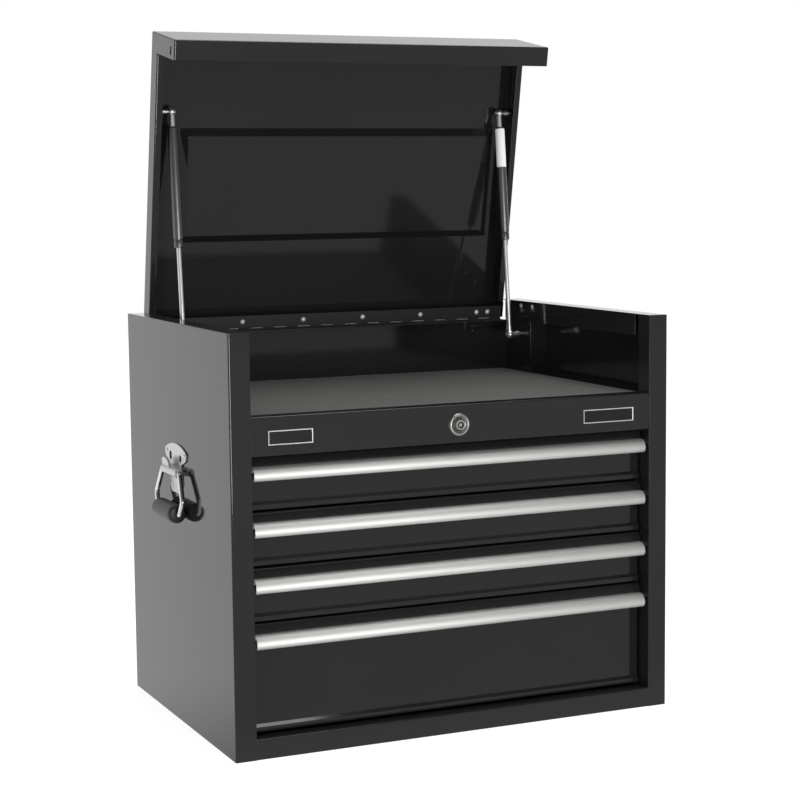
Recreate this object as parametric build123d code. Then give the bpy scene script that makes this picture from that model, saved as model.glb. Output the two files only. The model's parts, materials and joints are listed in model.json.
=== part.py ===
"""Top tool chest of folded sheet steel.

The case has a lined tray under a lift-up lid, a lock rail and four drawers on ball bearing slides.
The lid turns on a piano hinge and is held open by two gas struts. A drop handle is on each side.

Millimetres. +Z is up, +X is to the right of someone who faces the drawers, and the front is at -Y.
The origin is the centre of the underside. The lid is modelled shut and then turned open, because
open is how the chest is shown at rest.
"""
from build123d import *
import os
from math import atan2, cos, degrees, hypot, radians, sin, sqrt

# Case, over all
WIDTH = 675.0
DEPTH = 460.0
HEIGHT = 580.0
SHEET = 1.0  # painted steel sheet
BEND = 2.0  # outside radius of a fold
BEND_RELIEF = 2.0  # notch at each end of a fold that stops short

# Side panels
POST_WIDTH = 30.0  # front post and top flange
POST_DEPTH = 30.0  # return of the post towards the back
TOP_RETURN = 32.0  # drop of the inner return under the top flange
TOP_RETURN_GAP = 10.0  # from the post's return to the start of the top return
REAR_FLANGE = 20.0

# Base, back and bottom rail
BASE_UPSTAND = 20.0  # fold at the front of the base
BACK_RECESS = 5.0  # depth of the back panel's recessed field
BACK_STEP_GAP = 2.5  # from a rear flange's edge to the step of the recess
BACK_FLANGE = 21.0  # inward flange at the top of the back, under the hinge
BOTTOM_RAIL_TOP = 28.5
BOTTOM_RAIL_LIFT = 3.0  # the rail's lower edge stands this far above the base
RAIL_FLANGE = 24.0
RAIL_LIP = 12.0

# Lock rail, tray and mat
FRONT_OPENING = 113.0  # from the lock rail's top to the top of the case
LOCK_RAIL_HEIGHT = 53.2
LOCK_RAIL_SET = 1.0  # the rail stands this far behind the posts
TRAY_DROP = 4.0  # from the lock rail's top down to the tray's floor
MAT_THICKNESS = 3.5
MAT_CORNER = 3.5
MAT_SIDE_GAP = 33.5
MAT_END_GAP = 1.0

# Lid
LID_SIDE_GAP = 2.5
LID_SET = 1.5  # the shut lip stands this far behind the posts
LID_SUNK = 2.0  # the shut lid lies this far below the top of the side panels
LID_GAP = 1.5  # from the lock rail's top to the shut lip
LID_FLANGE = 28.5
LID_SIDE_RETURN = 10.5  # fold along the foot of each side flange
LID_SIDE_RETURN_GAP = 8.0  # from that fold to the rear return
LIP_DEPTH = 29.5
LIP_RETURN = 12.0
LIP_SLOT_SIZE = (12.0, 6.0)
LIP_SLOT_SETBACK = 17.7  # from the lip's face
LIP_SLOT_RISE = 17.0  # above the lip's lower edge
LID_OPEN_ANGLE = 79.5
PRESSING_SETBACK = 155.5  # from the lip's face to the pressed panel
PRESSING_LENGTH = 154.0
PRESSING_SIDE = 51.5  # from the lid's side to the pressed panel, if it were in the middle
PRESSING_SHIFT = 8.5  # to the right of the middle
PRESSING_DEPTH = 8.0
PRESSING_SLOPE = 11.5  # width of the pressed panel's sloping edge

# Piano hinge
HINGE_DROP = 32.5  # from the top of the case to the pin
HINGE_CLEARANCE = 1.3  # from the back panel to the knuckles
HINGE_INSET = 5.0  # from the lid's side to the end of the hinge
LEAF = 0.8
LEAF_WIDTH = 20.0
LEAF_GAP = 0.4  # between the shut leaves
KNUCKLE_RADIUS = 2.2
KNUCKLE_COUNT = 30
KNUCKLE_GAP = 0.4  # between neighbours
KNUCKLE_NOTCH = 0.15  # from a knuckle to the other leaf's edge
PIN_RADIUS = 1.15
PIN_PLAY = 0.05

# Rivets
RIVET_HEAD_RADIUS = 4.0
RIVET_HEAD_RISE = 2.0
RIVET_SHANK_RADIUS = 2.0
RIVET_PLAY = 0.1
HINGE_RIVET_COUNT = 6  # evenly spaced ones
HINGE_END_RIVET = 20.0  # from the last rivet of the row to the extra one at each end
HINGE_RIVET_MARGIN = 24.5  # from the extra rivet to the end of the hinge
HINGE_RIVET_OFFSET = 12.5  # from the pin
RIVET_RELIEF = 1.5  # room around a rivet head in the shut hinge

# Gas struts
STRUT_INSET = 29.5  # from the lid's side
STRUT_UPPER_REACH = 339.0  # from the hinge pin to the upper ball, along the lid
STRUT_UPPER_DEPTH = 15.0  # upper ball below the lid's outer face
STRUT_LOWER_REACH = 81.0  # from the hinge pin to the lower ball
STRUT_LOWER_DROP = 19.2  # lower ball below the hinge pin
BALL_RADIUS = 4.0
BALL_PLAY = 0.3
SOCKET_RADIUS = 6.5
SOCKET_SHANK_RADIUS = 4.2
UPPER_SOCKET_LENGTH = 23.0  # from the ball to the tube
LOWER_SOCKET_LENGTH = 15.0
LOWER_SOCKET_FLAT = 6.0  # the lower socket is cut flat towards its stud
STUD_RADIUS = 3.0
STUD_NECK = 8.5  # from the ball's middle to the collar
STUD_COLLAR_RADIUS = 5.0
STUD_COLLAR = 7.0
STUD_NUT = 4.0
TUBE_RADIUS = 7.5
TUBE_WALL = 1.3
TUBE_LENGTH = 169.5
TUBE_END = 6.0  # solid end of the tube
COLLAR_LENGTH = 12.0
COLLAR_RADIUS = 7.2
ROD_RADIUS = 3.5
ROD_PLAY = 0.05
ROD_INSERT = 20.0  # rod inside the tube when the strut is long
PISTON_LENGTH = 8.0
GUSSET_WIDTH = 86.0  # plate that carries the lower stud
GUSSET_SHOULDER = 17.0  # extra width behind the top return
GUSSET_TOP_GAP = 3.0
GUSSET_RIVETS = (9.0, 47.0)  # from the front edge of the shoulder
GUSSET_RIVET_DROP = 8.0

# Lock
LOCK_DROP = 27.9  # from the rail's top to the lock's axis
LOCK_BEZEL_RADIUS = 16.0
LOCK_BEZEL_RISE = 3.5
LOCK_BEZEL_RIM = 1.5
LOCK_BEZEL_CREST = 12.8
LOCK_BODY_RADIUS = 10.0
LOCK_BODY_LENGTH = 12.5  # behind the rail's face
LOCK_NUT_RADIUS = 13.0
LOCK_NUT_SIDES = 6
LOCK_NUT_LENGTH = 5.0
LOCK_PLAY = 0.05
PLUG_RADIUS = 8.5
PLUG_RISE = 6.0
KEYWAY_RADIUS = 4.6
KEYWAY_CORE_RADIUS = 2.6
KEYWAY_DEPTH = 4.0
PLUG_TAIL_RADIUS = 4.0
PLUG_TAIL_LENGTH = 6.0
CAM_THICKNESS = 2.5
CAM_SETBACK = 1.0  # from the lock body to the cam
CAM_WIDTH = 10.0
CAM_REACH = 18.0  # to the middle of the round end
CAM_EYE_RADIUS = 6.0  # round the plug's tail

# Plates on the lock rail
BADGE_DROP = 29.1  # from the rail's top to the middle of the plates
BADGE_HEIGHT = 19.5
BADGE_THICKNESS = 0.8
BADGE_FRAME = 1.2
BADGE_FRAME_RISE = 0.4
LEFT_BADGE_WIDTH = 64.0
RIGHT_BADGE_WIDTH = 82.0
LEFT_BADGE_INSET = 24.5  # from the post
RIGHT_BADGE_INSET = 27.0

# Drawers
SMALL_DRAWER_COUNT = 3
SMALL_DRAWER_HEIGHT = 73.5
DRAWER_GAP = 3.0
DRAWER_TOP_GAP = 2.5
DRAWER_BOTTOM_GAP = 2.8
DRAWER_SIDE_GAP = 3.0
DRAWER_SET = 27.0  # drawer faces behind the posts
FACE_STEP = 4.0  # the foot of a drawer face stands this far forward
FACE_FOOT = 7.2
FACE_RETURN = 13.0
PAN_RISE = 6.0
PAN_TOP_GAP = 14.0
PAN_BACK_GAP = 28.0
LINER_THICKNESS = 2.0
LINER_GAP = 1.0

# Drawer handles
PULL_DROP = 10.6  # from the top of the drawer face
PULL_REACH = 25.0
PULL_NOSE = 11.9  # radius of the round front
PULL_CURL = 51.0  # degrees that the front curls in below
PULL_WALL = 2.0
PULL_SIDE_GAP = 4.5
PULL_LEG = 12.0

# Slides
SLIDE_SIDE_GAP = 1.5  # from the opening's side to the slide
SLIDE_THICKNESS = 12.7
SLIDE_HEIGHT = 35.0
SLIDE_SHEET = 1.2
SLIDE_RACE = 0.8  # room for the balls
SLIDE_LIP = 7.0
SLIDE_RISE = 30.0  # slide's middle above the drawer face's foot
SLIDE_FRONT_GAP = 7.0
SLIDE_BACK_GAP = 18.0
UPRIGHT_WIDTH = 30.0
UPRIGHT_END_GAP = 10.0  # from the slide's back end to the rear upright

# Side handles
PLATE_THICKNESS = 2.0
PLATE_HALF_WIDTH = 50.0
PLATE_FOOT_HALF = 20.0
PLATE_NECK_HALF = 22.0
PLATE_TAIL_HALF = 27.0
PLATE_TOP = 39.0  # above the handle's axis
PLATE_SHOULDER = 27.7
PLATE_WAIST = 17.5
PLATE_NECK = 9.0
PLATE_TAIL = 16.0  # below the handle's axis
PLATE_FOOT = 32.0
PLATE_CORNER = 5.0
PLATE_SLOT = (13.0, 11.0)
PLATE_SLOT_Y = 23.0
PLATE_SLOT_RISE = 19.5
PLATE_HOLE_RADIUS = 5.0
PLATE_HOLE_Y = -22.0
PLATE_HOLE_RISE = 19.5
PLATE_RIVET_UPPER = (39.0, 25.0)
PLATE_RIVET_LOWER = (15.0, -24.0)
HANDLE_DROP = 211.5  # handle's axis below the top of the case
BARREL_RADIUS = 6.0
BARREL_HALF_LENGTH = 33.0
BARREL_STANDOFF = 9.0  # axis from the side panel
WIRE_RADIUS = 3.5
WIRE_PLAY = 0.05
WIRE_BEND = 8.0
BAIL_SHOULDER = 6.0  # wire corner beyond the barrel
BAIL_BULGE = 60.0  # half width at the widest
BAIL_BULGE_RISE = 20.0  # widest place above the grip's axis
BAIL_DROP = 56.9
GRIP_RADIUS = 13.5
GRIP_HALF_LENGTH = 41.0
GRIP_EDGE = 3.0
GRIP_CLEARANCE = 0.3  # hanging grip to the side panel
BAIL_CORNER = 8.0  # wire corner beyond the grip
WIRE_END_GAP = 1.0

# Planes that several pieces share
X_WALL = WIDTH / 2 - SHEET  # inner face of a side panel
X_OPENING = WIDTH / 2 - POST_WIDTH
Y_FRONT = -DEPTH / 2
Y_BACK = DEPTH / 2
Y_LAP = Y_BACK - SHEET  # outer face of the back panel's side laps
Y_FIELD = Y_LAP - SHEET - BACK_RECESS  # inner face of the back panel's field
LOCK_RAIL_TOP = HEIGHT - FRONT_OPENING
LOCK_RAIL_FOOT = LOCK_RAIL_TOP - LOCK_RAIL_HEIGHT
LOCK_Z = LOCK_RAIL_TOP - LOCK_DROP
Y_LOCK_FACE = Y_FRONT + LOCK_RAIL_SET
Y_LOCK_BACK = Y_LOCK_FACE + RAIL_FLANGE
TRAY_Z = LOCK_RAIL_TOP - TRAY_DROP  # upper face of the tray's floor

HINGE_Y = Y_FIELD + SHEET + HINGE_CLEARANCE + KNUCKLE_RADIUS
HINGE_Z = HEIGHT - HINGE_DROP
BACK_TOP = HINGE_Z - LEAF_GAP / 2 - LEAF
LID_HALF = X_OPENING - LID_SIDE_GAP
LID_TOP = HEIGHT - LID_SUNK
LID_FRONT = Y_FRONT + LID_SET
LID_REAR = HINGE_Y - KNUCKLE_RADIUS - LEAF
LID_FOOT = LOCK_RAIL_TOP + LID_GAP
LID_RETURN_Z = HINGE_Z + LEAF_GAP / 2 + LEAF
HINGE_LENGTH = 2 * (LID_HALF - HINGE_INSET)

X_STRUT = LID_HALF - STRUT_INSET
X_GUSSET = X_OPENING + SHEET  # face of the gusset that carries the lower stud
LOWER_BALL = (HINGE_Y - STRUT_LOWER_REACH, HINGE_Z - STRUT_LOWER_DROP)

FACE_Y = Y_FRONT + DRAWER_SET
X_SLIDE = X_OPENING - SLIDE_SIDE_GAP
X_PAN = X_SLIDE - SLIDE_THICKNESS
SLIDE_FRONT = FACE_Y + SHEET + SLIDE_FRONT_GAP
SLIDE_BACK = Y_FIELD - SLIDE_BACK_GAP
PAN_BACK = Y_FIELD - PAN_BACK_GAP

HANDLE_Z = HEIGHT - HANDLE_DROP
X_BARREL = WIDTH / 2 + BARREL_STANDOFF
X_GRIP = WIDTH / 2 + GRIP_CLEARANCE + GRIP_RADIUS


def block(x0, x1, y0, y1, z0, z1):
    """Box between two opposite corners."""
    middle = Pos((x0 + x1) / 2, (y0 + y1) / 2, (z0 + z1) / 2)
    return middle * Box(abs(x1 - x0), abs(y1 - y0), abs(z1 - z0))


def rod_x(radius, x0, x1, y, z):
    """Round bar along X."""
    return Pos((x0 + x1) / 2, y, z) * Rot(Y=90) * Cylinder(radius, abs(x1 - x0))


def rod_y(radius, y0, y1, x, z):
    """Round bar along Y."""
    return Pos(x, (y0 + y1) / 2, z) * Rot(X=90) * Cylinder(radius, abs(y1 - y0))


def rod_z(radius, z0, z1, x=0.0, y=0.0):
    """Round bar along Z."""
    return Pos(x, y, (z0 + z1) / 2) * Cylinder(radius, abs(z1 - z0))


def bar_along_x(outline, half_length):
    """Prism along X, from an outline of (y, z) points."""
    wire = Polyline(*[(-half_length, y, z) for y, z in outline], close=True)
    return extrude(make_face(wire), amount=2 * half_length, dir=(1, 0, 0))


def group(solids):
    """Separate solids that share one node."""
    return Compound(children=list(solids))


def left_of(shape):
    """Mirror image on the left side."""
    return mirror(shape, about=Plane.YZ)


def both(shape):
    """A right-hand solid and its mirror image."""
    return group([shape, left_of(shape)])


def straight_edges(shape, axis, x=None, y=None, z=None):
    """Edges along an axis whose middle has the given coordinates."""
    tolerance = 0.01
    found = []
    for edge in shape.edges().filter_by(axis):
        middle = edge.center()
        wanted = ((x, middle.X), (y, middle.Y), (z, middle.Z))
        if all(value is None or abs(value - have) < tolerance for value, have in wanted):
            found.append(edge)
    return found


def bend(shape, folds):
    """Round folds, each given by its axis and the places of its inner and its outer edge."""
    inner = [e for axis, inside, _ in folds for e in straight_edges(shape, axis, **inside)]
    shape = fillet(inner, BEND - SHEET)
    outer = [e for axis, _, outside in folds for e in straight_edges(shape, axis, **outside)]
    return fillet(outer, BEND)


def dome_rivet(length):
    """Rivet with its head below Z = 0 and its shank up to Z = length."""
    ball_radius = (RIVET_HEAD_RADIUS**2 + RIVET_HEAD_RISE**2) / (2 * RIVET_HEAD_RISE)
    ball = Pos(0, 0, ball_radius - RIVET_HEAD_RISE) * Sphere(ball_radius)
    head = ball & block(-ball_radius, ball_radius, -ball_radius, ball_radius, -RIVET_HEAD_RISE, 0)
    return head + rod_z(RIVET_SHANK_RADIUS, 0, length)


def open_lid(shape):
    """Turn a piece of the shut lid about the hinge pin into its open place."""
    return Pos(0, HINGE_Y, HINGE_Z) * Rot(X=-LID_OPEN_ANGLE) * Pos(0, -HINGE_Y, -HINGE_Z) * shape


def opened_point(y, z):
    """Place of a point of the shut lid when the lid is open."""
    turn = radians(-LID_OPEN_ANGLE)
    away_y = y - HINGE_Y
    away_z = z - HINGE_Z
    return (
        HINGE_Y + away_y * cos(turn) - away_z * sin(turn),
        HINGE_Z + away_y * sin(turn) + away_z * cos(turn),
    )


# Case

def side_panel():
    """Right side panel: wall, front post, top flange with its inner return, and rear flange."""
    outer = WIDTH / 2
    post_back = Y_FRONT + POST_DEPTH
    wall = block(X_WALL, outer, Y_FRONT, Y_BACK, 0, HEIGHT)
    post_face = block(X_OPENING, outer, Y_FRONT, Y_FRONT + SHEET, 0, HEIGHT)
    post_return = block(X_OPENING, X_OPENING + SHEET, Y_FRONT, post_back, SHEET, HEIGHT)
    top_flange = block(X_OPENING, outer, Y_FRONT, Y_BACK, HEIGHT - SHEET, HEIGHT)
    return_front = post_back + TOP_RETURN_GAP
    top_return = block(
        X_OPENING, X_OPENING + SHEET, return_front, Y_FIELD, HEIGHT - TOP_RETURN, HEIGHT
    )
    rear_flange = block(outer - REAR_FLANGE, outer, Y_LAP, Y_BACK, 0, HEIGHT)
    panel = wall + post_face + post_return + top_flange + top_return + rear_flange
    folds = [
        (Axis.Z, {"x": X_WALL, "y": Y_FRONT + SHEET}, {"x": outer, "y": Y_FRONT}),
        (Axis.Z, {"x": X_WALL, "y": Y_LAP}, {"x": outer, "y": Y_BACK}),
        (Axis.Y, {"x": X_WALL, "z": HEIGHT - SHEET}, {"x": outer, "z": HEIGHT}),
    ]
    panel = bend(panel, folds)
    for y, z in plate_rivet_places():
        panel -= rod_x(RIVET_SHANK_RADIUS + RIVET_PLAY, X_WALL, outer, y, z)
    for y in gusset_rivet_places():
        hole_z = HEIGHT - GUSSET_RIVET_DROP
        panel -= rod_x(RIVET_SHANK_RADIUS + RIVET_PLAY, X_OPENING, X_GUSSET, y, hole_z)
    return panel


def base_panel():
    """Floor of the case, folded up behind the bottom rail."""
    front = Y_FRONT + SHEET
    floor = block(-X_WALL, X_WALL, Y_FRONT + BEND, Y_LAP - SHEET, 0, SHEET)
    floor += block(-X_OPENING, X_OPENING, front, Y_FRONT + BEND, 0, SHEET)
    return floor + block(-X_OPENING, X_OPENING, front, front + SHEET, 0, BASE_UPSTAND)


def back_panel():
    """Back with a recessed field, side laps on the rear flanges and a top flange for the hinge."""
    step = WIDTH / 2 - REAR_FLANGE - BACK_STEP_GAP
    lap = WIDTH / 2 - BEND
    field_back = Y_FIELD + SHEET
    panel = block(-step, step, Y_FIELD, field_back, SHEET, BACK_TOP)
    for side in (-1, 1):
        panel += block(side * (step - SHEET), side * step, Y_FIELD, Y_LAP, SHEET, BACK_TOP)
        panel += block(side * (step - SHEET), side * lap, Y_LAP - SHEET, Y_LAP, SHEET, BACK_TOP)
    flange_front = field_back - BACK_FLANGE
    panel += block(-LID_HALF, LID_HALF, flange_front, field_back, BACK_TOP - SHEET, BACK_TOP)
    return panel - hinge_reliefs()


def bottom_rail():
    """Front rail under the drawers, folded back at the top."""
    back = Y_FRONT + RAIL_FLANGE
    face = block(
        -X_OPENING, X_OPENING, Y_FRONT, Y_FRONT + SHEET, BOTTOM_RAIL_LIFT, BOTTOM_RAIL_TOP
    )
    shelf = block(-X_OPENING, X_OPENING, Y_FRONT, back, BOTTOM_RAIL_TOP - SHEET, BOTTOM_RAIL_TOP)
    lip_foot = BOTTOM_RAIL_TOP - RAIL_LIP
    lip = block(-X_OPENING, X_OPENING, back - SHEET, back, lip_foot, BOTTOM_RAIL_TOP)
    inside = {"y": Y_FRONT + SHEET, "z": BOTTOM_RAIL_TOP - SHEET}
    outside = {"y": Y_FRONT, "z": BOTTOM_RAIL_TOP}
    return bend(face + shelf + lip, [(Axis.X, inside, outside)])


def lock_rail():
    """Front rail over the drawers: a channel that holds the lock."""
    face = block(
        -X_OPENING, X_OPENING, Y_LOCK_FACE, Y_LOCK_FACE + SHEET, LOCK_RAIL_FOOT, LOCK_RAIL_TOP
    )
    top = block(
        -X_OPENING, X_OPENING, Y_LOCK_FACE, Y_LOCK_BACK, LOCK_RAIL_TOP - SHEET, LOCK_RAIL_TOP
    )
    foot = block(
        -X_OPENING, X_OPENING, Y_LOCK_FACE, Y_LOCK_BACK, LOCK_RAIL_FOOT, LOCK_RAIL_FOOT + SHEET
    )
    lip_foot = LOCK_RAIL_TOP - RAIL_LIP
    lip = block(
        -X_OPENING, X_OPENING, Y_LOCK_BACK - SHEET, Y_LOCK_BACK, lip_foot, LOCK_RAIL_TOP
    )
    rail = face + top + foot + lip
    inner = Y_LOCK_FACE + SHEET
    folds = [
        (
            Axis.X,
            {"y": inner, "z": LOCK_RAIL_TOP - SHEET},
            {"y": Y_LOCK_FACE, "z": LOCK_RAIL_TOP},
        ),
        (
            Axis.X,
            {"y": inner, "z": LOCK_RAIL_FOOT + SHEET},
            {"y": Y_LOCK_FACE, "z": LOCK_RAIL_FOOT},
        ),
    ]
    rail = bend(rail, folds)
    hole_radius = LOCK_BODY_RADIUS + RIVET_PLAY
    return rail - rod_y(hole_radius, Y_LOCK_FACE, Y_LOCK_FACE + SHEET, 0, LOCK_Z)


def tray_floor():
    """Floor of the upper tray, folded down in front against the lock rail's lip."""
    step = Y_FRONT + POST_DEPTH + SHEET
    floor = block(-X_WALL, X_WALL, step, Y_FIELD, TRAY_Z - SHEET, TRAY_Z)
    tongue = block(-X_OPENING, X_OPENING, Y_LOCK_BACK, step, TRAY_Z - SHEET, TRAY_Z)
    fold_foot = LOCK_RAIL_TOP - RAIL_LIP
    fold = block(-X_OPENING, X_OPENING, Y_LOCK_BACK, Y_LOCK_BACK + SHEET, fold_foot, TRAY_Z)
    return floor + tongue + fold


def tray_mat():
    """Foam mat on the tray's floor, between the gussets."""
    half = X_WALL - MAT_SIDE_GAP
    front = Y_LOCK_BACK + MAT_END_GAP
    mat = block(-half, half, front, Y_FIELD - MAT_END_GAP, TRAY_Z, TRAY_Z + MAT_THICKNESS)
    return fillet(mat.edges().filter_by(Axis.Z), MAT_CORNER)


def gusset():
    """Right plate between the tray and the top return; it carries the strut's lower stud."""
    front = Y_FIELD - GUSSET_WIDTH
    face = X_GUSSET + SHEET
    top_foot = HEIGHT - TOP_RETURN
    plate = block(X_GUSSET, face, front, Y_FIELD, TRAY_Z, top_foot)
    shoulder_top = HEIGHT - SHEET - GUSSET_TOP_GAP
    plate += block(X_GUSSET, face, front - GUSSET_SHOULDER, Y_FIELD, top_foot, shoulder_top)
    plate += block(face, X_WALL, front, front + SHEET, TRAY_Z, top_foot)
    plate -= rod_x(STUD_RADIUS + RIVET_PLAY, X_GUSSET, face, *LOWER_BALL)
    for y in gusset_rivet_places():
        hole_z = HEIGHT - GUSSET_RIVET_DROP
        plate -= rod_x(RIVET_SHANK_RADIUS + RIVET_PLAY, X_GUSSET, face, y, hole_z)
    return plate


def gusset_rivet_places():
    """Y of the rivets that hold a gusset to the top return."""
    shoulder = Y_FIELD - GUSSET_WIDTH - GUSSET_SHOULDER
    return [shoulder + distance for distance in GUSSET_RIVETS]


def gusset_rivets():
    """Right-hand rivets through the top return and the gusset, heads towards the tray."""
    places = [Pos(X_OPENING, y, HEIGHT - GUSSET_RIVET_DROP) for y in gusset_rivet_places()]
    return [place * Rot(Y=90) * dome_rivet(2 * SHEET) for place in places]


def uprights():
    """Two right-hand channels, front and rear, between the side panel and the slides."""
    rear_end = SLIDE_BACK - UPRIGHT_END_GAP
    channels = []
    for front in (SLIDE_FRONT, rear_end - UPRIGHT_WIDTH):
        back = front + UPRIGHT_WIDTH
        channel = block(X_SLIDE, X_SLIDE + SHEET, front, back, SHEET, TRAY_Z - SHEET)
        channel += block(X_SLIDE, X_WALL, front, front + SHEET, SHEET, TRAY_Z - SHEET)
        channel += block(X_SLIDE, X_WALL, back - SHEET, back, SHEET, TRAY_Z - SHEET)
        channels.append(channel)
    return channels


# Lid, modelled shut

def hinge_rivet_places():
    """X of the rivets along the hinge."""
    last = HINGE_LENGTH / 2 - HINGE_RIVET_MARGIN - HINGE_END_RIVET
    pitch = 2 * last / (HINGE_RIVET_COUNT - 1)
    row = [-last + i * pitch for i in range(HINGE_RIVET_COUNT)]
    return [-last - HINGE_END_RIVET] + row + [last + HINGE_END_RIVET]


def hinge_reliefs():
    """Round holes in the case leaf and the back's flange that take the rivet heads."""
    y = HINGE_Y - HINGE_RIVET_OFFSET
    radius = RIVET_HEAD_RADIUS + RIVET_RELIEF
    bottom = BACK_TOP - SHEET
    top = BACK_TOP + LEAF
    return Part() + [rod_z(radius, bottom, top, x, y) for x in hinge_rivet_places()]


def hinge_leaf(first_knuckle, leaf_z):
    """One leaf of the piano hinge with every second knuckle."""
    half = HINGE_LENGTH / 2
    pitch = HINGE_LENGTH / KNUCKLE_COUNT
    notch = HINGE_Y - KNUCKLE_RADIUS - KNUCKLE_NOTCH
    leaf = block(-half, half, HINGE_Y - LEAF_WIDTH - KNUCKLE_RADIUS, notch, leaf_z, leaf_z + LEAF)
    knuckles = []
    for i in range(first_knuckle, KNUCKLE_COUNT, 2):
        x0 = -half + i * pitch + KNUCKLE_GAP / 2
        x1 = -half + (i + 1) * pitch - KNUCKLE_GAP / 2
        knuckles.append(block(x0, x1, notch, HINGE_Y, leaf_z, leaf_z + LEAF))
        knuckles.append(rod_x(KNUCKLE_RADIUS, x0, x1, HINGE_Y, HINGE_Z))
    leaf = leaf + knuckles
    return leaf - rod_x(PIN_RADIUS + PIN_PLAY, -half, half, HINGE_Y, HINGE_Z)


def lid_rivet_holes():
    """Holes for the rivets in the lid leaf and the lid's return."""
    y = HINGE_Y - HINGE_RIVET_OFFSET
    radius = RIVET_SHANK_RADIUS + RIVET_PLAY
    bottom = LID_RETURN_Z - LEAF
    top = LID_RETURN_Z + SHEET
    return Part() + [rod_z(radius, bottom, top, x, y) for x in hinge_rivet_places()]


def case_hinge_leaf():
    """Leaf on the back panel's flange, with holes that clear the rivet heads."""
    return hinge_leaf(0, BACK_TOP) - hinge_reliefs()


def lid_hinge_leaf():
    """Leaf under the lid's rear return."""
    return open_lid(hinge_leaf(1, LID_RETURN_Z - LEAF) - lid_rivet_holes())


def lid_hinge_rivets():
    """Dome rivets through the lid leaf."""
    y = HINGE_Y - HINGE_RIVET_OFFSET
    rivet = dome_rivet(LEAF + SHEET)
    places = [Pos(x, y, LID_RETURN_Z - LEAF) for x in hinge_rivet_places()]
    return group([open_lid(place * rivet) for place in places])


def pressing(lift):
    """Frustum of the pressed panel, its wide side at the underside of the lid plus lift."""
    half = LID_HALF - PRESSING_SIDE
    y0 = LID_FRONT + PRESSING_SETBACK
    y1 = y0 + PRESSING_LENGTH
    top = LID_TOP - SHEET + lift
    wide = Pos(PRESSING_SHIFT, (y0 + y1) / 2, top) * Rectangle(
        2 * (half + PRESSING_SLOPE), y1 - y0 + 2 * PRESSING_SLOPE
    )
    flat = Pos(PRESSING_SHIFT, (y0 + y1) / 2, top - PRESSING_DEPTH) * Rectangle(2 * half, y1 - y0)
    return loft([wide, flat], ruled=True)


def lid_shell():
    """Lid folded from one sheet: skin, boxed front lip, side flanges, rear wall and return."""
    flange_foot = LID_TOP - LID_FLANGE
    lip_back = LID_FRONT + LIP_DEPTH
    return_front = HINGE_Y - LEAF_WIDTH - KNUCKLE_RADIUS
    fold_front = lip_back + BEND_RELIEF
    fold_back = return_front - LID_SIDE_RETURN_GAP
    shell = block(-LID_HALF, LID_HALF, LID_FRONT, LID_REAR, LID_TOP - SHEET, LID_TOP)
    shell += block(-LID_HALF, LID_HALF, LID_FRONT, LID_FRONT + SHEET, LID_FOOT, LID_TOP)
    shell += block(-LID_HALF, LID_HALF, LID_FRONT, lip_back, LID_FOOT, LID_FOOT + SHEET)
    shell += block(-LID_HALF, LID_HALF, lip_back - SHEET, lip_back, LID_FOOT, LID_FOOT + LIP_RETURN)
    for side in (-1, 1):
        outer = side * LID_HALF
        inner = side * (LID_HALF - SHEET)
        shell += block(inner, outer, LID_FRONT, LID_REAR, flange_foot, LID_TOP)
        shell += block(inner, outer, LID_FRONT, lip_back, LID_FOOT, LID_TOP)
        tip = side * (LID_HALF - LID_SIDE_RETURN)
        shell += block(tip, outer, fold_front, fold_back, flange_foot, flange_foot + SHEET)
        for end in (lip_back, fold_back):
            shell -= block(tip, outer, end, end + BEND_RELIEF, flange_foot, flange_foot + BEND)
    shell += block(-LID_HALF, LID_HALF, LID_REAR - SHEET, LID_REAR, LID_RETURN_Z, LID_TOP)
    return_half = HINGE_LENGTH / 2
    shell += block(
        -return_half, return_half, return_front, LID_REAR, LID_RETURN_Z, LID_RETURN_Z + SHEET
    )
    inner_y = LID_FRONT + SHEET
    folds = []
    for inner_z, outer_z in ((LID_TOP - SHEET, LID_TOP), (LID_FOOT + SHEET, LID_FOOT)):
        folds.append((Axis.X, {"y": inner_y, "z": inner_z}, {"y": LID_FRONT, "z": outer_z}))
        for side in (-1, 1):
            inner_x = side * (LID_HALF - SHEET)
            outer_x = side * LID_HALF
            folds.append((Axis.Y, {"x": inner_x, "z": inner_z}, {"x": outer_x, "z": outer_z}))
    for side in (-1, 1):
        inner_x = side * (LID_HALF - SHEET)
        outer_x = side * LID_HALF
        folds.append((Axis.Z, {"x": inner_x, "y": inner_y}, {"x": outer_x, "y": LID_FRONT}))
        fold_middle = (fold_front + fold_back) / 2
        inner_fold = {"x": inner_x, "y": fold_middle, "z": flange_foot + SHEET}
        outer_fold = {"x": outer_x, "y": fold_middle, "z": flange_foot}
        folds.append((Axis.Y, inner_fold, outer_fold))
    shell = bend(shell, folds)
    shell = shell + pressing(0) - pressing(SHEET)
    slot_long, slot_high = LIP_SLOT_SIZE
    slot_y = LID_FRONT + LIP_SLOT_SETBACK - slot_long / 2
    slot_z = LID_FOOT + LIP_SLOT_RISE - slot_high / 2
    shell -= block(
        -LID_HALF, LID_HALF, slot_y, slot_y + slot_long, slot_z, slot_z + slot_high
    )
    return open_lid(shell - lid_rivet_holes())


# Gas struts, right-hand side

def upper_ball():
    """Place (y, z) of the upper ball with the lid open."""
    return opened_point(HINGE_Y - STRUT_UPPER_REACH, LID_TOP - STRUT_UPPER_DEPTH)


def strut_length():
    """Distance between the balls with the lid open."""
    y, z = upper_ball()
    return hypot(y - LOWER_BALL[0], z - LOWER_BALL[1])


def along_strut(shape):
    """Place a piece that hangs down from the upper ball along -Z."""
    y, z = upper_ball()
    lean = degrees(atan2(LOWER_BALL[0] - y, z - LOWER_BALL[1]))
    return Pos(X_STRUT, y, z) * Rot(X=lean) * shape


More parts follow.
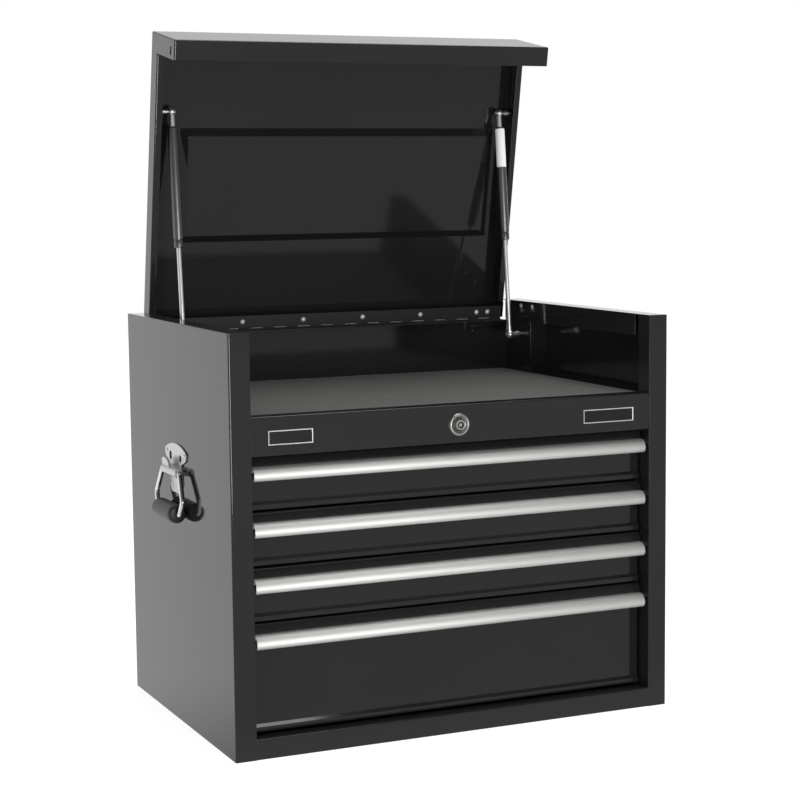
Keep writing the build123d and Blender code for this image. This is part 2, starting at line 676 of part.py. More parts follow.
def upper_stud():
    """Ball stud on the lid's side flange."""
    reach = LID_HALF - SHEET - X_STRUT
    neck = sqrt(BALL_RADIUS**2 - STUD_RADIUS**2)
    outline = ThreePointArc((-BALL_RADIUS, 0), (0, BALL_RADIUS), (neck, STUD_RADIUS))
    outline += Polyline(
        (neck, STUD_RADIUS),
        (STUD_NECK, STUD_RADIUS),
        (STUD_NECK, STUD_COLLAR_RADIUS),
        (STUD_NECK + STUD_COLLAR, STUD_COLLAR_RADIUS),
        (STUD_NECK + STUD_COLLAR, STUD_RADIUS),
        (reach, STUD_RADIUS),
        (reach, 0),
        (-BALL_RADIUS, 0),
    )
    y, z = upper_ball()
    return Pos(X_STRUT, y, z) * revolve(make_face(outline), Axis.X)


def lower_stud():
    """Stud through the gusset; it stops just short of the lower socket."""
    start = LOWER_SOCKET_FLAT + BALL_PLAY
    reach = X_GUSSET - X_STRUT
    outline = Polyline(
        (start, 0),
        (start, STUD_RADIUS),
        (STUD_NECK, STUD_RADIUS),
        (STUD_NECK, STUD_COLLAR_RADIUS),
        (STUD_NECK + STUD_COLLAR, STUD_COLLAR_RADIUS),
        (STUD_NECK + STUD_COLLAR, STUD_RADIUS),
        (reach + SHEET, STUD_RADIUS),
        (reach + SHEET, STUD_COLLAR_RADIUS),
        (reach + SHEET + STUD_NUT, STUD_COLLAR_RADIUS),
        (reach + SHEET + STUD_NUT, 0),
        close=True,
    )
    y, z = LOWER_BALL
    return Pos(X_STRUT, y, z) * revolve(make_face(outline), Axis.X)


def strut_upper_socket():
    """Socket that holds the upper ball, with a shank into the tube."""
    socket = Sphere(SOCKET_RADIUS) + rod_z(SOCKET_SHANK_RADIUS, -UPPER_SOCKET_LENGTH, 0)
    socket -= Sphere(BALL_RADIUS + BALL_PLAY)
    socket -= rod_x(STUD_RADIUS + BALL_PLAY, 0, 2 * SOCKET_RADIUS, 0, 0)
    return along_strut(socket)


def strut_tube():
    """Pressure tube, solid at the upper end, with the rod's guide collar at the lower end."""
    top = -UPPER_SOCKET_LENGTH
    foot = top - TUBE_LENGTH
    tube = rod_z(TUBE_RADIUS, foot, top)
    tube += rod_z(COLLAR_RADIUS, foot - COLLAR_LENGTH, foot)
    tube -= rod_z(TUBE_RADIUS - TUBE_WALL, foot, top - TUBE_END)
    tube -= rod_z(ROD_RADIUS + ROD_PLAY, foot - COLLAR_LENGTH, foot)
    return along_strut(tube)


def strut_rod():
    """Rod with its piston inside the tube."""
    mouth = -UPPER_SOCKET_LENGTH - TUBE_LENGTH
    top = mouth + ROD_INSERT
    rod = rod_z(ROD_RADIUS, -strut_length() + LOWER_SOCKET_LENGTH, top)
    rod += rod_z(TUBE_RADIUS - TUBE_WALL - ROD_PLAY, top - PISTON_LENGTH, top)
    return along_strut(rod)


def strut_lower_socket():
    """Round end of the rod, cut flat towards its stud."""
    low = -strut_length()
    socket = Pos(0, 0, low) * Sphere(SOCKET_RADIUS)
    socket += rod_z(SOCKET_SHANK_RADIUS, low, low + LOWER_SOCKET_LENGTH)
    reach = 2 * SOCKET_RADIUS
    beyond = block(LOWER_SOCKET_FLAT, reach, -reach, reach, low - reach, low + reach)
    return along_strut(socket - beyond)


# Lock

def lock_housing():
    """Body through the rail with a dished bezel in front."""
    body = rod_y(LOCK_BODY_RADIUS, Y_LOCK_FACE, Y_LOCK_FACE + LOCK_BODY_LENGTH, 0, LOCK_Z)
    bezel_outline = Polyline(
        (0, 0),
        (LOCK_BEZEL_RADIUS, 0),
        (LOCK_BEZEL_RADIUS, LOCK_BEZEL_RIM),
        (LOCK_BEZEL_CREST, LOCK_BEZEL_RISE),
        (LOCK_BODY_RADIUS, LOCK_BEZEL_RIM),
        (0, LOCK_BEZEL_RIM),
        close=True,
    )
    bezel = revolve(Plane.XZ * make_face(bezel_outline), axis=Axis.Z)
    housing = body + Pos(0, Y_LOCK_FACE, LOCK_Z) * Rot(X=90) * bezel
    bore = PLUG_RADIUS + LOCK_PLAY
    front = Y_LOCK_FACE - LOCK_BEZEL_RISE
    return housing - rod_y(bore, front, Y_LOCK_FACE + LOCK_BODY_LENGTH, 0, LOCK_Z)


def lock_nut():
    """Six-sided nut behind the rail's face."""
    face = Y_LOCK_FACE + SHEET
    outline = RegularPolygon(LOCK_NUT_RADIUS, LOCK_NUT_SIDES)
    outline -= Circle(LOCK_BODY_RADIUS + LOCK_PLAY)
    return Pos(0, face, LOCK_Z) * Rot(X=-90) * extrude(outline, amount=LOCK_NUT_LENGTH)


def lock_plug():
    """Turning plug with a round keyway in front and a tail for the cam."""
    front = Y_LOCK_FACE - PLUG_RISE
    back = Y_LOCK_FACE + LOCK_BODY_LENGTH
    plug = rod_y(PLUG_RADIUS, front, back, 0, LOCK_Z)
    keyway = rod_y(KEYWAY_RADIUS, front, front + KEYWAY_DEPTH, 0, LOCK_Z)
    keyway -= rod_y(KEYWAY_CORE_RADIUS, front, front + KEYWAY_DEPTH, 0, LOCK_Z)
    return plug - keyway + rod_y(PLUG_TAIL_RADIUS, back, back + PLUG_TAIL_LENGTH, 0, LOCK_Z)


def lock_cam():
    """Tongue on the plug's tail; it turns inside the rail."""
    front = Y_LOCK_FACE + LOCK_BODY_LENGTH + CAM_SETBACK
    back = front + CAM_THICKNESS
    half = CAM_WIDTH / 2
    cam = block(0, CAM_REACH, front, back, LOCK_Z - half, LOCK_Z + half)
    cam += rod_y(half, front, back, CAM_REACH, LOCK_Z)
    cam += rod_y(CAM_EYE_RADIUS, front, back, 0, LOCK_Z)
    return cam - rod_y(PLUG_TAIL_RADIUS + LOCK_PLAY, front, back, 0, LOCK_Z)


def badge(x0, x1):
    """Bare plate with a raised frame."""
    back = Y_LOCK_FACE
    front = back - BADGE_THICKNESS
    z0 = LOCK_RAIL_TOP - BADGE_DROP - BADGE_HEIGHT / 2
    z1 = z0 + BADGE_HEIGHT
    crest = front - BADGE_FRAME_RISE
    inset = BADGE_FRAME
    field = block(x0 + inset, x1 - inset, crest, front, z0 + inset, z1 - inset)
    return block(x0, x1, crest, back, z0, z1) - field


def badges():
    """The two plates on the lock rail."""
    left_edge = LEFT_BADGE_INSET - X_OPENING
    right_edge = X_OPENING - RIGHT_BADGE_INSET
    left = badge(left_edge, left_edge + LEFT_BADGE_WIDTH)
    right = badge(right_edge - RIGHT_BADGE_WIDTH, right_edge)
    return group([left, right])


# Drawers

def drawer_spans():
    """Foot and top of each drawer face, from the top drawer down."""
    spans = []
    top = LOCK_RAIL_FOOT - DRAWER_TOP_GAP
    for _ in range(SMALL_DRAWER_COUNT):
        spans.append((top - SMALL_DRAWER_HEIGHT, top))
        top -= SMALL_DRAWER_HEIGHT + DRAWER_GAP
    spans.append((BOTTOM_RAIL_TOP + DRAWER_BOTTOM_GAP, top))
    return spans


def drawer_pan(foot, top):
    """Drawer with its folded face; the face's foot steps forward."""
    back = FACE_Y + FACE_RETURN
    step = FACE_FOOT + FACE_STEP
    fold = SHEET * (sqrt(2) - 1)  # keeps the sheet's thickness round the two half folds
    outline = [
        (FACE_Y, top),
        (FACE_Y, foot + step),
        (FACE_Y - FACE_STEP, foot + FACE_FOOT),
        (FACE_Y - FACE_STEP, foot),
        (back, foot),
        (back, foot + SHEET),
        (FACE_Y - FACE_STEP + SHEET, foot + SHEET),
        (FACE_Y - FACE_STEP + SHEET, foot + FACE_FOOT - fold),
        (FACE_Y + SHEET, foot + step - fold),
        (FACE_Y + SHEET, top - SHEET),
        (back, top - SHEET),
        (back, top),
    ]
    folds = [
        (Axis.X, {"y": FACE_Y + SHEET, "z": top - SHEET}, {"y": FACE_Y, "z": top}),
        (
            Axis.X,
            {"y": FACE_Y - FACE_STEP + SHEET, "z": foot + SHEET},
            {"y": FACE_Y - FACE_STEP, "z": foot},
        ),
    ]
    face = bend(bar_along_x(outline, X_OPENING - DRAWER_SIDE_GAP), folds)
    front = FACE_Y + SHEET
    floor = foot + PAN_RISE
    rim = top - PAN_TOP_GAP
    pan = face + block(-X_PAN, X_PAN, front, PAN_BACK, floor, floor + SHEET)
    pan += block(-X_PAN, X_PAN, PAN_BACK - SHEET, PAN_BACK, floor, rim)
    for side in (-1, 1):
        pan += block(side * (X_PAN - SHEET), side * X_PAN, front, PAN_BACK, floor, rim)
    return pan


def drawer_pull(top):
    """Aluminium hood handle over the width of the face; its round front is open from below."""
    crown = top - PULL_DROP
    leg = FACE_Y - PULL_WALL
    middle = (FACE_Y - PULL_REACH + PULL_NOSE, crown - PULL_NOSE)
    sweep_angle = 90 + PULL_CURL
    outside = CenterArc(middle, PULL_NOSE, 90, sweep_angle)
    inside = CenterArc(middle, PULL_NOSE - PULL_WALL, 90, sweep_angle)
    foot = Line(outside @ 1, inside @ 1)
    roof = Polyline(inside @ 0, (FACE_Y, crown - PULL_WALL), (FACE_Y, crown), outside @ 0)
    hood = make_face([outside, foot, inside, roof])
    hood += Pos((leg + FACE_Y) / 2, crown - PULL_LEG / 2) * Rectangle(PULL_WALL, PULL_LEG)
    half = X_OPENING - PULL_SIDE_GAP
    profile = Plane((-half, 0, 0), x_dir=(0, 1, 0), z_dir=(1, 0, 0)) * hood
    return extrude(profile, amount=2 * half, dir=(1, 0, 0))


def drawer_liner(foot):
    """Foam liner on the drawer's floor."""
    half = X_PAN - SHEET - LINER_GAP
    floor = foot + PAN_RISE + SHEET
    front = FACE_Y + SHEET + LINER_GAP
    return block(-half, half, front, PAN_BACK - SHEET - LINER_GAP, floor, floor + LINER_THICKNESS)


def slide_member(web_x, lip_x, half_height, middle_z):
    """Channel of a slide: a web in the YZ plane with a lip at its top and foot."""
    inward = SLIDE_SHEET if lip_x < web_x else -SLIDE_SHEET
    y0, y1 = SLIDE_FRONT, SLIDE_BACK
    foot = middle_z - half_height
    top = middle_z + half_height
    member = block(web_x - inward, web_x, y0, y1, foot, top)
    member += block(lip_x, web_x, y0, y1, foot, foot + SLIDE_SHEET)
    return member + block(lip_x, web_x, y0, y1, top - SLIDE_SHEET, top)


OUTER_HALF = SLIDE_HEIGHT / 2
MIDDLE_HALF = OUTER_HALF - SLIDE_SHEET - SLIDE_RACE
INNER_HALF = MIDDLE_HALF - SLIDE_SHEET - SLIDE_RACE


def slide_outer(foot):
    """Right outer member, fixed to the uprights."""
    return slide_member(X_SLIDE, X_SLIDE - SLIDE_SHEET - SLIDE_LIP, OUTER_HALF, foot + SLIDE_RISE)


def slide_middle(foot):
    """Right middle member, which travels half as far as the drawer."""
    web = X_SLIDE - SLIDE_SHEET - 2 * SLIDE_RACE
    return slide_member(web, web - SLIDE_SHEET - SLIDE_LIP, MIDDLE_HALF, foot + SLIDE_RISE)


def slide_inner(foot):
    """Right inner member, fixed to the drawer's side."""
    return slide_member(X_PAN, X_PAN + SLIDE_SHEET + SLIDE_LIP, INNER_HALF, foot + SLIDE_RISE)


# Side handles, right-hand side

def plate_rivet_places():
    """(y, z) of the rivets of a handle plate."""
    places = []
    for y, rise in (PLATE_RIVET_UPPER, PLATE_RIVET_LOWER):
        places += [(-y, HANDLE_Z + rise), (y, HANDLE_Z + rise)]
    return places


def handle_plate():
    """Shield-shaped plate with a barrel for the bail."""
    half_outline = [
        (PLATE_HALF_WIDTH, PLATE_SHOULDER),
        (PLATE_HALF_WIDTH - PLATE_CORNER, PLATE_WAIST),
        (PLATE_NECK_HALF, PLATE_NECK),
        (PLATE_TAIL_HALF, -PLATE_TAIL),
        (PLATE_FOOT_HALF, -PLATE_FOOT),
    ]
    other_half = [(-y, z) for y, z in reversed(half_outline)]
    crown = ThreePointArc(other_half[-1], (0, PLATE_TOP), half_outline[0])
    shield = make_face([crown, Polyline(*half_outline, *other_half)])
    shield = fillet(shield.vertices(), PLATE_CORNER)
    shield -= Pos(PLATE_SLOT_Y, PLATE_SLOT_RISE) * SlotOverall(*PLATE_SLOT, rotation=90)
    shield -= Pos(PLATE_HOLE_Y, PLATE_HOLE_RISE) * Circle(PLATE_HOLE_RADIUS)
    wall = WIDTH / 2
    sheet_plane = Plane((wall, 0, HANDLE_Z), x_dir=(0, 1, 0), z_dir=(1, 0, 0))
    plate = extrude(sheet_plane * shield, amount=PLATE_THICKNESS, dir=(1, 0, 0))
    ends = BARREL_HALF_LENGTH
    plate += rod_y(BARREL_RADIUS, -ends, ends, X_BARREL, HANDLE_Z)
    web_foot = HANDLE_Z - BARREL_RADIUS
    web_top = HANDLE_Z + BARREL_RADIUS
    plate += block(wall, X_BARREL, -PLATE_NECK_HALF, PLATE_NECK_HALF, web_foot, web_top)
    plate -= rod_y(WIRE_RADIUS + WIRE_PLAY, -ends, ends, X_BARREL, HANDLE_Z)
    for y, z in plate_rivet_places():
        plate -= rod_x(RIVET_SHANK_RADIUS + RIVET_PLAY, wall, wall + PLATE_THICKNESS, y, z)
    return plate


def plate_rivets():
    """Right-hand rivets of the handle plate, heads outside."""
    places = [Pos(WIDTH / 2 + PLATE_THICKNESS, y, z) for y, z in plate_rivet_places()]
    return [place * Rot(Y=-90) * dome_rivet(PLATE_THICKNESS + SHEET) for place in places]


def case_rivets():
    """All rivets of the case, on both sides."""
    right_hand = gusset_rivets() + plate_rivets()
    return group(right_hand + [left_of(rivet) for rivet in right_hand])


def bail_plane():
    """Plane of the hanging bail: first axis along Y, second axis up from the grip to the barrel."""
    lean = Vector(X_BARREL - X_GRIP, 0, BAIL_DROP).normalized()
    along = Vector(0, 1, 0)
    return Plane((X_BARREL, 0, HANDLE_Z), x_dir=along, z_dir=along.cross(lean))


def handle_bail():
    """Wire bail from the barrel down into the ends of the grip."""
    low = -hypot(X_BARREL - X_GRIP, BAIL_DROP)
    half = [
        (WIRE_END_GAP, low),
        (GRIP_HALF_LENGTH + BAIL_CORNER, low),
        (BAIL_BULGE, low + BAIL_BULGE_RISE),
        (BARREL_HALF_LENGTH + BAIL_SHOULDER, 0),
    ]
    other_half = [(-y, z) for y, z in reversed(half)]
    plane = bail_plane()
    points = [plane.from_local_coords((y, z, 0)) for y, z in half + other_half]
    path = FilletPolyline(*points, radius=WIRE_BEND)
    section = Plane(path @ 0, z_dir=path % 0) * Circle(WIRE_RADIUS)
    return sweep(section, path=path)


def handle_grip():
    """Round grip on the lower run of the bail."""
    z = HANDLE_Z - BAIL_DROP
    grip = rod_y(GRIP_RADIUS, -GRIP_HALF_LENGTH, GRIP_HALF_LENGTH, X_GRIP, z)
    grip = fillet(grip.edges().filter_by(GeomType.CIRCLE), GRIP_EDGE)
    bore = WIRE_RADIUS + WIRE_PLAY
    return grip - rod_y(bore, -GRIP_HALF_LENGTH, GRIP_HALF_LENGTH, X_GRIP, z)


# All nodes

NODES = {
    "right_side_panel": side_panel(),
    "left_side_panel": left_of(side_panel()),
    "base_panel": base_panel(),
    "back_panel": back_panel(),
    "bottom_rail": bottom_rail(),
    "lock_rail": lock_rail(),
    "tray_floor": tray_floor(),
    "tray_mat": tray_mat(),
    "strut_gussets": both(gusset()),
    "right_slide_uprights": group(uprights()),
    "left_slide_uprights": group([left_of(channel) for channel in uprights()]),
    "case_hinge_leaf": case_hinge_leaf(),
    "hinge_pin": rod_x(PIN_RADIUS, -HINGE_LENGTH / 2, HINGE_LENGTH / 2, HINGE_Y, HINGE_Z),
    "lower_strut_studs": both(lower_stud()),
    "lock_housing": lock_housing(),
    "lock_nut": lock_nut(),
    "rail_badges": badges(),
    "case_rivets": case_rivets(),
    "lid_shell": lid_shell(),
    "lid_hinge_leaf": lid_hinge_leaf(),
    "lid_hinge_rivets": lid_hinge_rivets(),
    "upper_strut_studs": both(upper_stud()),
    "lock_plug": lock_plug(),
    "lock_cam": lock_cam(),
}

HANDED_PIECES = {
    "strut_upper_socket": strut_upper_socket(),
    "strut_tube": strut_tube(),
    "strut_rod": strut_rod(),
    "strut_lower_socket": strut_lower_socket(),
    "handle_plate": handle_plate(),
    "handle_bail": handle_bail(),
    "handle_grip": handle_grip(),
}
for name, shape in HANDED_PIECES.items():
    NODES[f"right_{name}"] = shape
    NODES[f"left_{name}"] = left_of(shape)

outer_slides = [slide_outer(foot) for foot, top in drawer_spans()]
NODES["right_outer_slides"] = group(outer_slides)
NODES["left_outer_slides"] = group([left_of(slide) for slide in outer_slides])
for number, (foot, top) in enumerate(drawer_spans(), start=1):
    NODES[f"drawer_{number}_pan"] = drawer_pan(foot, top)
    NODES[f"drawer_{number}_pull"] = drawer_pull(top)
    NODES[f"drawer_{number}_liner"] = drawer_liner(foot)
    NODES[f"drawer_{number}_inner_slides"] = both(slide_inner(foot))
    NODES[f"drawer_{number}_middle_slides"] = both(slide_middle(foot))

os.makedirs("parts", exist_ok=True)
for name, shape in NODES.items():
    export_step(shape, f"parts/{name}.step")

SHUT_BALL = (HINGE_Y - STRUT_UPPER_REACH, LID_TOP - STRUT_UPPER_DEPTH)
print("nodes", len(NODES))
print("hinge pin", HINGE_Y, HINGE_Z)
print("upper ball open", upper_ball(), "shut", SHUT_BALL, "lower ball", LOWER_BALL)
print("strut length open", strut_length())
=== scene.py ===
# %% [markdown]
# # A black top tool chest in the studio
#
# The chest comes from CAD as separate solids that already have their sizes, places and joints. This
# lesson dresses it: it sets up the camera and the light, mixes the finishes, and models the small
# pieces whose shape needs more care than a plain solid gives. Everything is in metres, +Z is up, and the
# drawers face -Y.

import json
from math import cos, pi, radians, sin

import bpy
from mathutils import Matrix, Vector


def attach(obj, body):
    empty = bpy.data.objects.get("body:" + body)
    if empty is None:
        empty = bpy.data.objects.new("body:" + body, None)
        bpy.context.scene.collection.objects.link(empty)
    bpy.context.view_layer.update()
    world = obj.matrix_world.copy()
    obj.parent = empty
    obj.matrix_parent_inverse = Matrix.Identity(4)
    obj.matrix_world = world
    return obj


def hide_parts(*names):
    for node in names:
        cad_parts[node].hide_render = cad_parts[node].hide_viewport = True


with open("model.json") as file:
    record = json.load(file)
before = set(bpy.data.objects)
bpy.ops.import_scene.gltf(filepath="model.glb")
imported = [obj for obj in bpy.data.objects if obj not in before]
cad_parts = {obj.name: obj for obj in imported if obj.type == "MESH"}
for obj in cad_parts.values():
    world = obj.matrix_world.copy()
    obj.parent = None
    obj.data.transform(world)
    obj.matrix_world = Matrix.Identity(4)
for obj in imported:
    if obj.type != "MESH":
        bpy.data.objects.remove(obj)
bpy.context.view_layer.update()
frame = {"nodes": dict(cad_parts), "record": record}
nodes = frame["nodes"]

# %% [markdown]
# ## The camera
#
# The picture was taken from the front left, a little above the drawers, with a long lens. A long lens
# keeps the upright edges nearly parallel. The camera's place and turn are given as numbers, because a
# constraint that aims at a target can't hold the slight roll.

# %% Place the camera
PHOTO_SIZE = 800
FOCAL_PIXELS = 1949.98
SENSOR = 36.0
CAMERA_PLACE = Vector((-1.18158, -2.64987, 0.77830))
CAMERA_PITCH = radians(6.441)
CAMERA_YAW = radians(-24.276)
CAMERA_ROLL = radians(-0.592)

level = Vector((cos(CAMERA_YAW), sin(CAMERA_YAW), 0.0))
ahead = Vector((-sin(CAMERA_YAW), cos(CAMERA_YAW), 0.0))
forward = ahead * cos(CAMERA_PITCH) - Vector((0.0, 0.0, sin(CAMERA_PITCH)))
upward = level.cross(forward)
right = level * cos(CAMERA_ROLL) + upward * sin(CAMERA_ROLL)
top = upward * cos(CAMERA_ROLL) - level * sin(CAMERA_ROLL)

bpy.ops.object.camera_add()
camera = bpy.context.object
camera.name = "studio_camera"
camera.data.sensor_width = SENSOR
camera.data.lens = FOCAL_PIXELS * SENSOR / PHOTO_SIZE
camera.data.clip_end = 50.0
turn = Matrix((right, top, -forward)).transposed().to_4x4()
camera.matrix_world = Matrix.Translation(CAMERA_PLACE) @ turn
bpy.context.scene.camera = camera
print("lens", round(camera.data.lens, 2), "mm")

# %% [markdown]
# ## Sums with sockets
#
# A finish is a small network of nodes. Wiring each node by hand takes many lines, so one class stands for
# a node's output: a sum or product written with it adds the Math node that works it out, and its `add`
# method makes any other node. The rest of the lesson can then read like arithmetic.

# %% A class for sockets
class Wire:
    """One output socket of a node tree, for use in sums."""

    def __init__(self, tree, socket=None):
        self.tree = tree
        self.socket = socket

    def add(self, kind, settings=None, inputs=None, output=0):
        """Add a node: first its settings, then the values or links of its sockets."""
        node = self.tree.nodes.new(kind)
        for name, value in (settings or {}).items():
            setattr(node, name, value)
        for key, value in (inputs or {}).items():
            if isinstance(value, Wire):
                self.tree.links.new(value.socket, node.inputs[key])
            else:
                node.inputs[key].default_value = value
        return Wire(self.tree, node.outputs[output] if node.outputs else None)

    def into(self, socket):
        """Link this output to a socket of a node that is already there."""
        self.tree.links.new(self.socket, socket)

    def math(self, operation, first, second):
        return self.add("ShaderNodeMath", {"operation": operation}, {0: first, 1: second})

    def __add__(self, other):
        return self.math("ADD", self, other)

    def __radd__(self, other):
        return self.math("ADD", other, self)

    def __rsub__(self, other):
        return self.math("SUBTRACT", other, self)

    def __mul__(self, other):
        return self.math("MULTIPLY", self, other)

    def __rmul__(self, other):
        return self.math("MULTIPLY", other, self)


def ray_kinds(start):
    """Two masks of the ray that asks: straight from the camera, or by way of a reflection."""
    straight = start.add("ShaderNodeLightPath", output="Is Camera Ray")
    glossy = start.add("ShaderNodeLightPath", output="Is Glossy Ray")
    through = start.add("ShaderNodeLightPath", output="Is Transmission Ray")
    return straight, glossy + through


print("sums:", [name for name in vars(Wire) if name.startswith("__r")])

# %% [markdown]
# ## The white studio
#
# The chest stood on a white sweep: paper that runs up behind it without a corner. Gloss paint shows its
# surroundings, so these matter more than the lamps. The side panel mirrors the bright paper behind it,
# the drawer faces mirror the darker room behind the camera. The floor therefore has one answer for each
# kind of ray: the camera sees white with a soft shadow, a reflection sees paper that darkens towards the
# camera, and the light that bounces on sees plain diffuse paper.

# %% Lay the floor
FLOOR_SIZE = 14.0
PAPER_GLOW = 0.8
PAPER_GREY = (0.34, 0.34, 0.34, 1.0)
PAPER_BOUNCE = (0.62, 0.62, 0.61, 1.0)
WHITE = (1.0, 1.0, 1.0, 1.0)
BACK_EDGE = 0.3
FRONT_EDGE = -0.5
PAPER_BACK = 1.0
PAPER_FRONT = 0.45

bpy.context.scene.view_settings.view_transform = "Standard"
bpy.ops.object.select_all(action="DESELECT")
bpy.ops.mesh.primitive_plane_add(size=FLOOR_SIZE)
floor = bpy.context.object
floor.name = "paper_floor"
paper = bpy.data.materials.new("white_paper")
paper.use_nodes = True
paper.node_tree.nodes.clear()
start = Wire(paper.node_tree)

place = start.add("ShaderNodeTexCoord", output="Object")
depth = start.add("ShaderNodeSeparateXYZ", inputs={0: place}, output="Y")
falloff = start.add(
    "ShaderNodeMapRange",
    {"interpolation_type": "SMOOTHSTEP"},
    {"Value": depth, 1: FRONT_EDGE, 2: BACK_EDGE, 3: PAPER_FRONT, 4: PAPER_BACK},
)
mirrored = start.add("ShaderNodeEmission", inputs={"Strength": falloff})
glow = start.add("ShaderNodeEmission", inputs={"Color": WHITE, "Strength": PAPER_GLOW})
shadowed = start.add("ShaderNodeBsdfDiffuse", inputs={"Color": PAPER_GREY})
seen = start.add("ShaderNodeAddShader", inputs={0: glow, 1: shadowed})
bounce = start.add("ShaderNodeBsdfDiffuse", inputs={"Color": PAPER_BOUNCE})
is_camera, is_mirrored = ray_kinds(start)
plain = start.add("ShaderNodeMixShader", inputs={0: is_camera, 1: bounce, 2: seen})
reflected = start.add("ShaderNodeMixShader", inputs={0: is_mirrored, 1: plain, 2: mirrored})
start.add("ShaderNodeOutputMaterial", inputs={"Surface": reflected})
floor.data.materials.append(paper)
print("floor", FLOOR_SIZE, "m")

# %% [markdown]
# ## The room and the lamps
#
# The world is the rest of the room. Reflections see the white paper behind the chest, a dimmer ceiling
# and a dim room behind the camera, all from the direction of the ray; diffuse light gets one even grey.
# Two area lamps add the direction: a low softbox in front, which the pulls catch, and a broad one
# overhead.

# %% Light the room
ROOM_FILL = 0.95
ROOM_BEHIND = 1.0
ROOM_FRONT = 0.32
CEILING_DROP = 0.85
BACKDROP_START = -0.3
BACKDROP_END = 0.5
CEILING_START = 0.1
CEILING_END = 0.8

world = bpy.data.worlds.new("white_studio")
bpy.context.scene.world = world
world.use_nodes = True
world.node_tree.nodes.clear()
start = Wire(world.node_tree)
heading = start.add("ShaderNodeTexCoord", output="Generated")
behind = start.add("ShaderNodeSeparateXYZ", inputs={0: heading}, output="Y")
above = start.add("ShaderNodeSeparateXYZ", inputs={0: heading}, output="Z")
backdrop = start.add(
    "ShaderNodeMapRange",
    {"interpolation_type": "SMOOTHSTEP"},
    {"Value": behind, 1: BACKDROP_START, 2: BACKDROP_END, 3: ROOM_FRONT, 4: ROOM_BEHIND},
)
ceiling = start.add(
    "ShaderNodeMapRange",
    inputs={"Value": above, 1: CEILING_START, 2: CEILING_END, 3: 1.0, 4: 1.0 - CEILING_DROP},
)
is_camera, is_mirrored = ray_kinds(start)
fill = start.add("ShaderNodeBackground", inputs={"Color": WHITE, "Strength": ROOM_FILL})
around = start.add("ShaderNodeBackground", inputs={"Color": WHITE, "Strength": backdrop * ceiling})
white = start.add("ShaderNodeBackground", inputs={"Color": WHITE, "Strength": 1.0})
room = start.add("ShaderNodeMixShader", inputs={0: is_mirrored, 1: fill, 2: around})
room = start.add("ShaderNodeMixShader", inputs={0: is_camera, 1: room, 2: white})
start.add("ShaderNodeOutputWorld", inputs={"Surface": room})
print("room fill", ROOM_FILL)

# %% Hang the lamps
LAMP_AIM = Vector((0.0, -0.05, 0.45))
LAMPS = {
    "key_lamp": (Vector((-0.12, -2.3, 0.2)), 0.62, 23.0),
    "top_lamp": (Vector((0.4, -0.2, 3.0)), 1.6, 36.0),
}
for name, (place, size, power) in LAMPS.items():
    bpy.ops.object.light_add(type="AREA", location=place)
    lamp = bpy.context.object
    lamp.name = name
    lamp.data.size = size
    lamp.data.energy = power
    lamp.rotation_euler = (LAMP_AIM - place).to_track_quat("-Z", "Y").to_euler()
print("lamps", list(LAMPS))

# %% [markdown]
# ## A start for each finish
#
# Every finish begins the same way: a material whose shader has its constant values on its own sockets,
# and the piece's Object coordinates as the place on the surface. What varies is linked afterwards.

# %% New finish
def new_finish(name, constants):
    """Make a material; return it with its shader and the place on the piece."""
    finish = bpy.data.materials.new(name)
    finish.use_nodes = True
    shader = finish.node_tree.nodes["Principled BSDF"]
    for socket, value in constants.items():
        shader.inputs[socket].default_value = value
    place = Wire(finish.node_tree).add("ShaderNodeTexCoord", output="Object")
    return finish, shader, place


def noise(place, scale, detail, stretch=(1.0, 1.0, 1.0)):
    """Soft noise from 0 to 1; stretch draws it out along an axis."""
    spot = place.add("ShaderNodeMapping", inputs={"Vector": place, "Scale": stretch})
    settings = {"Vector": spot, "Scale": scale, "Detail": detail}
    return place.add("ShaderNodeTexNoise", inputs=settings, output="Fac")


def tint(place, mask, first, second):
    """Blend two colours by a mask."""
    return place.add(
        "ShaderNodeMix",
        {"data_type": "RGBA"},
        {0: mask, 6: (*first, 1.0), 7: (*second, 1.0)},
        output=2,
    )


def relief(place, height, depth, strength, normal=None):
    """Bump from a height map whose full range is the given depth in metres."""
    inputs = {"Height": height, "Distance": depth, "Strength": strength}
    if normal is not None:
        inputs["Normal"] = normal
    return place.add("ShaderNodeBump", inputs=inputs)


finishes = {}
print("finishes start with", new_finish.__name__)

# %% [markdown]
# ## Gloss black enamel
#
# The steel is stoved in black enamel. Up close such paint isn't flat: it has orange peel, a faint
# waviness a few millimetres across that ripples the reflections. A noise as bump gives the peel, and
# broader ones vary the gloss as handling does. A bevel in the normal rounds the knife-sharp edges of
# the sheet, so that they catch light as paint does.

# %% Mix the enamel
ENAMEL_DARK = (0.0105, 0.0109, 0.0105)
ENAMEL_PALE = (0.0130, 0.0133, 0.0128)
ENAMEL_ROUGH = 0.05
CLOUD_SCALE = 9.0
CLOUD_ROUGH = 0.045
FILM_SCALE = 70.0
FILM_ROUGH = 0.015
PEEL_SCALE = 260.0
PEEL_DEPTH = 0.00003
PEEL_STRENGTH = 0.6
EDGE_ROUND = 0.0006
EDGE_SAMPLES = 6

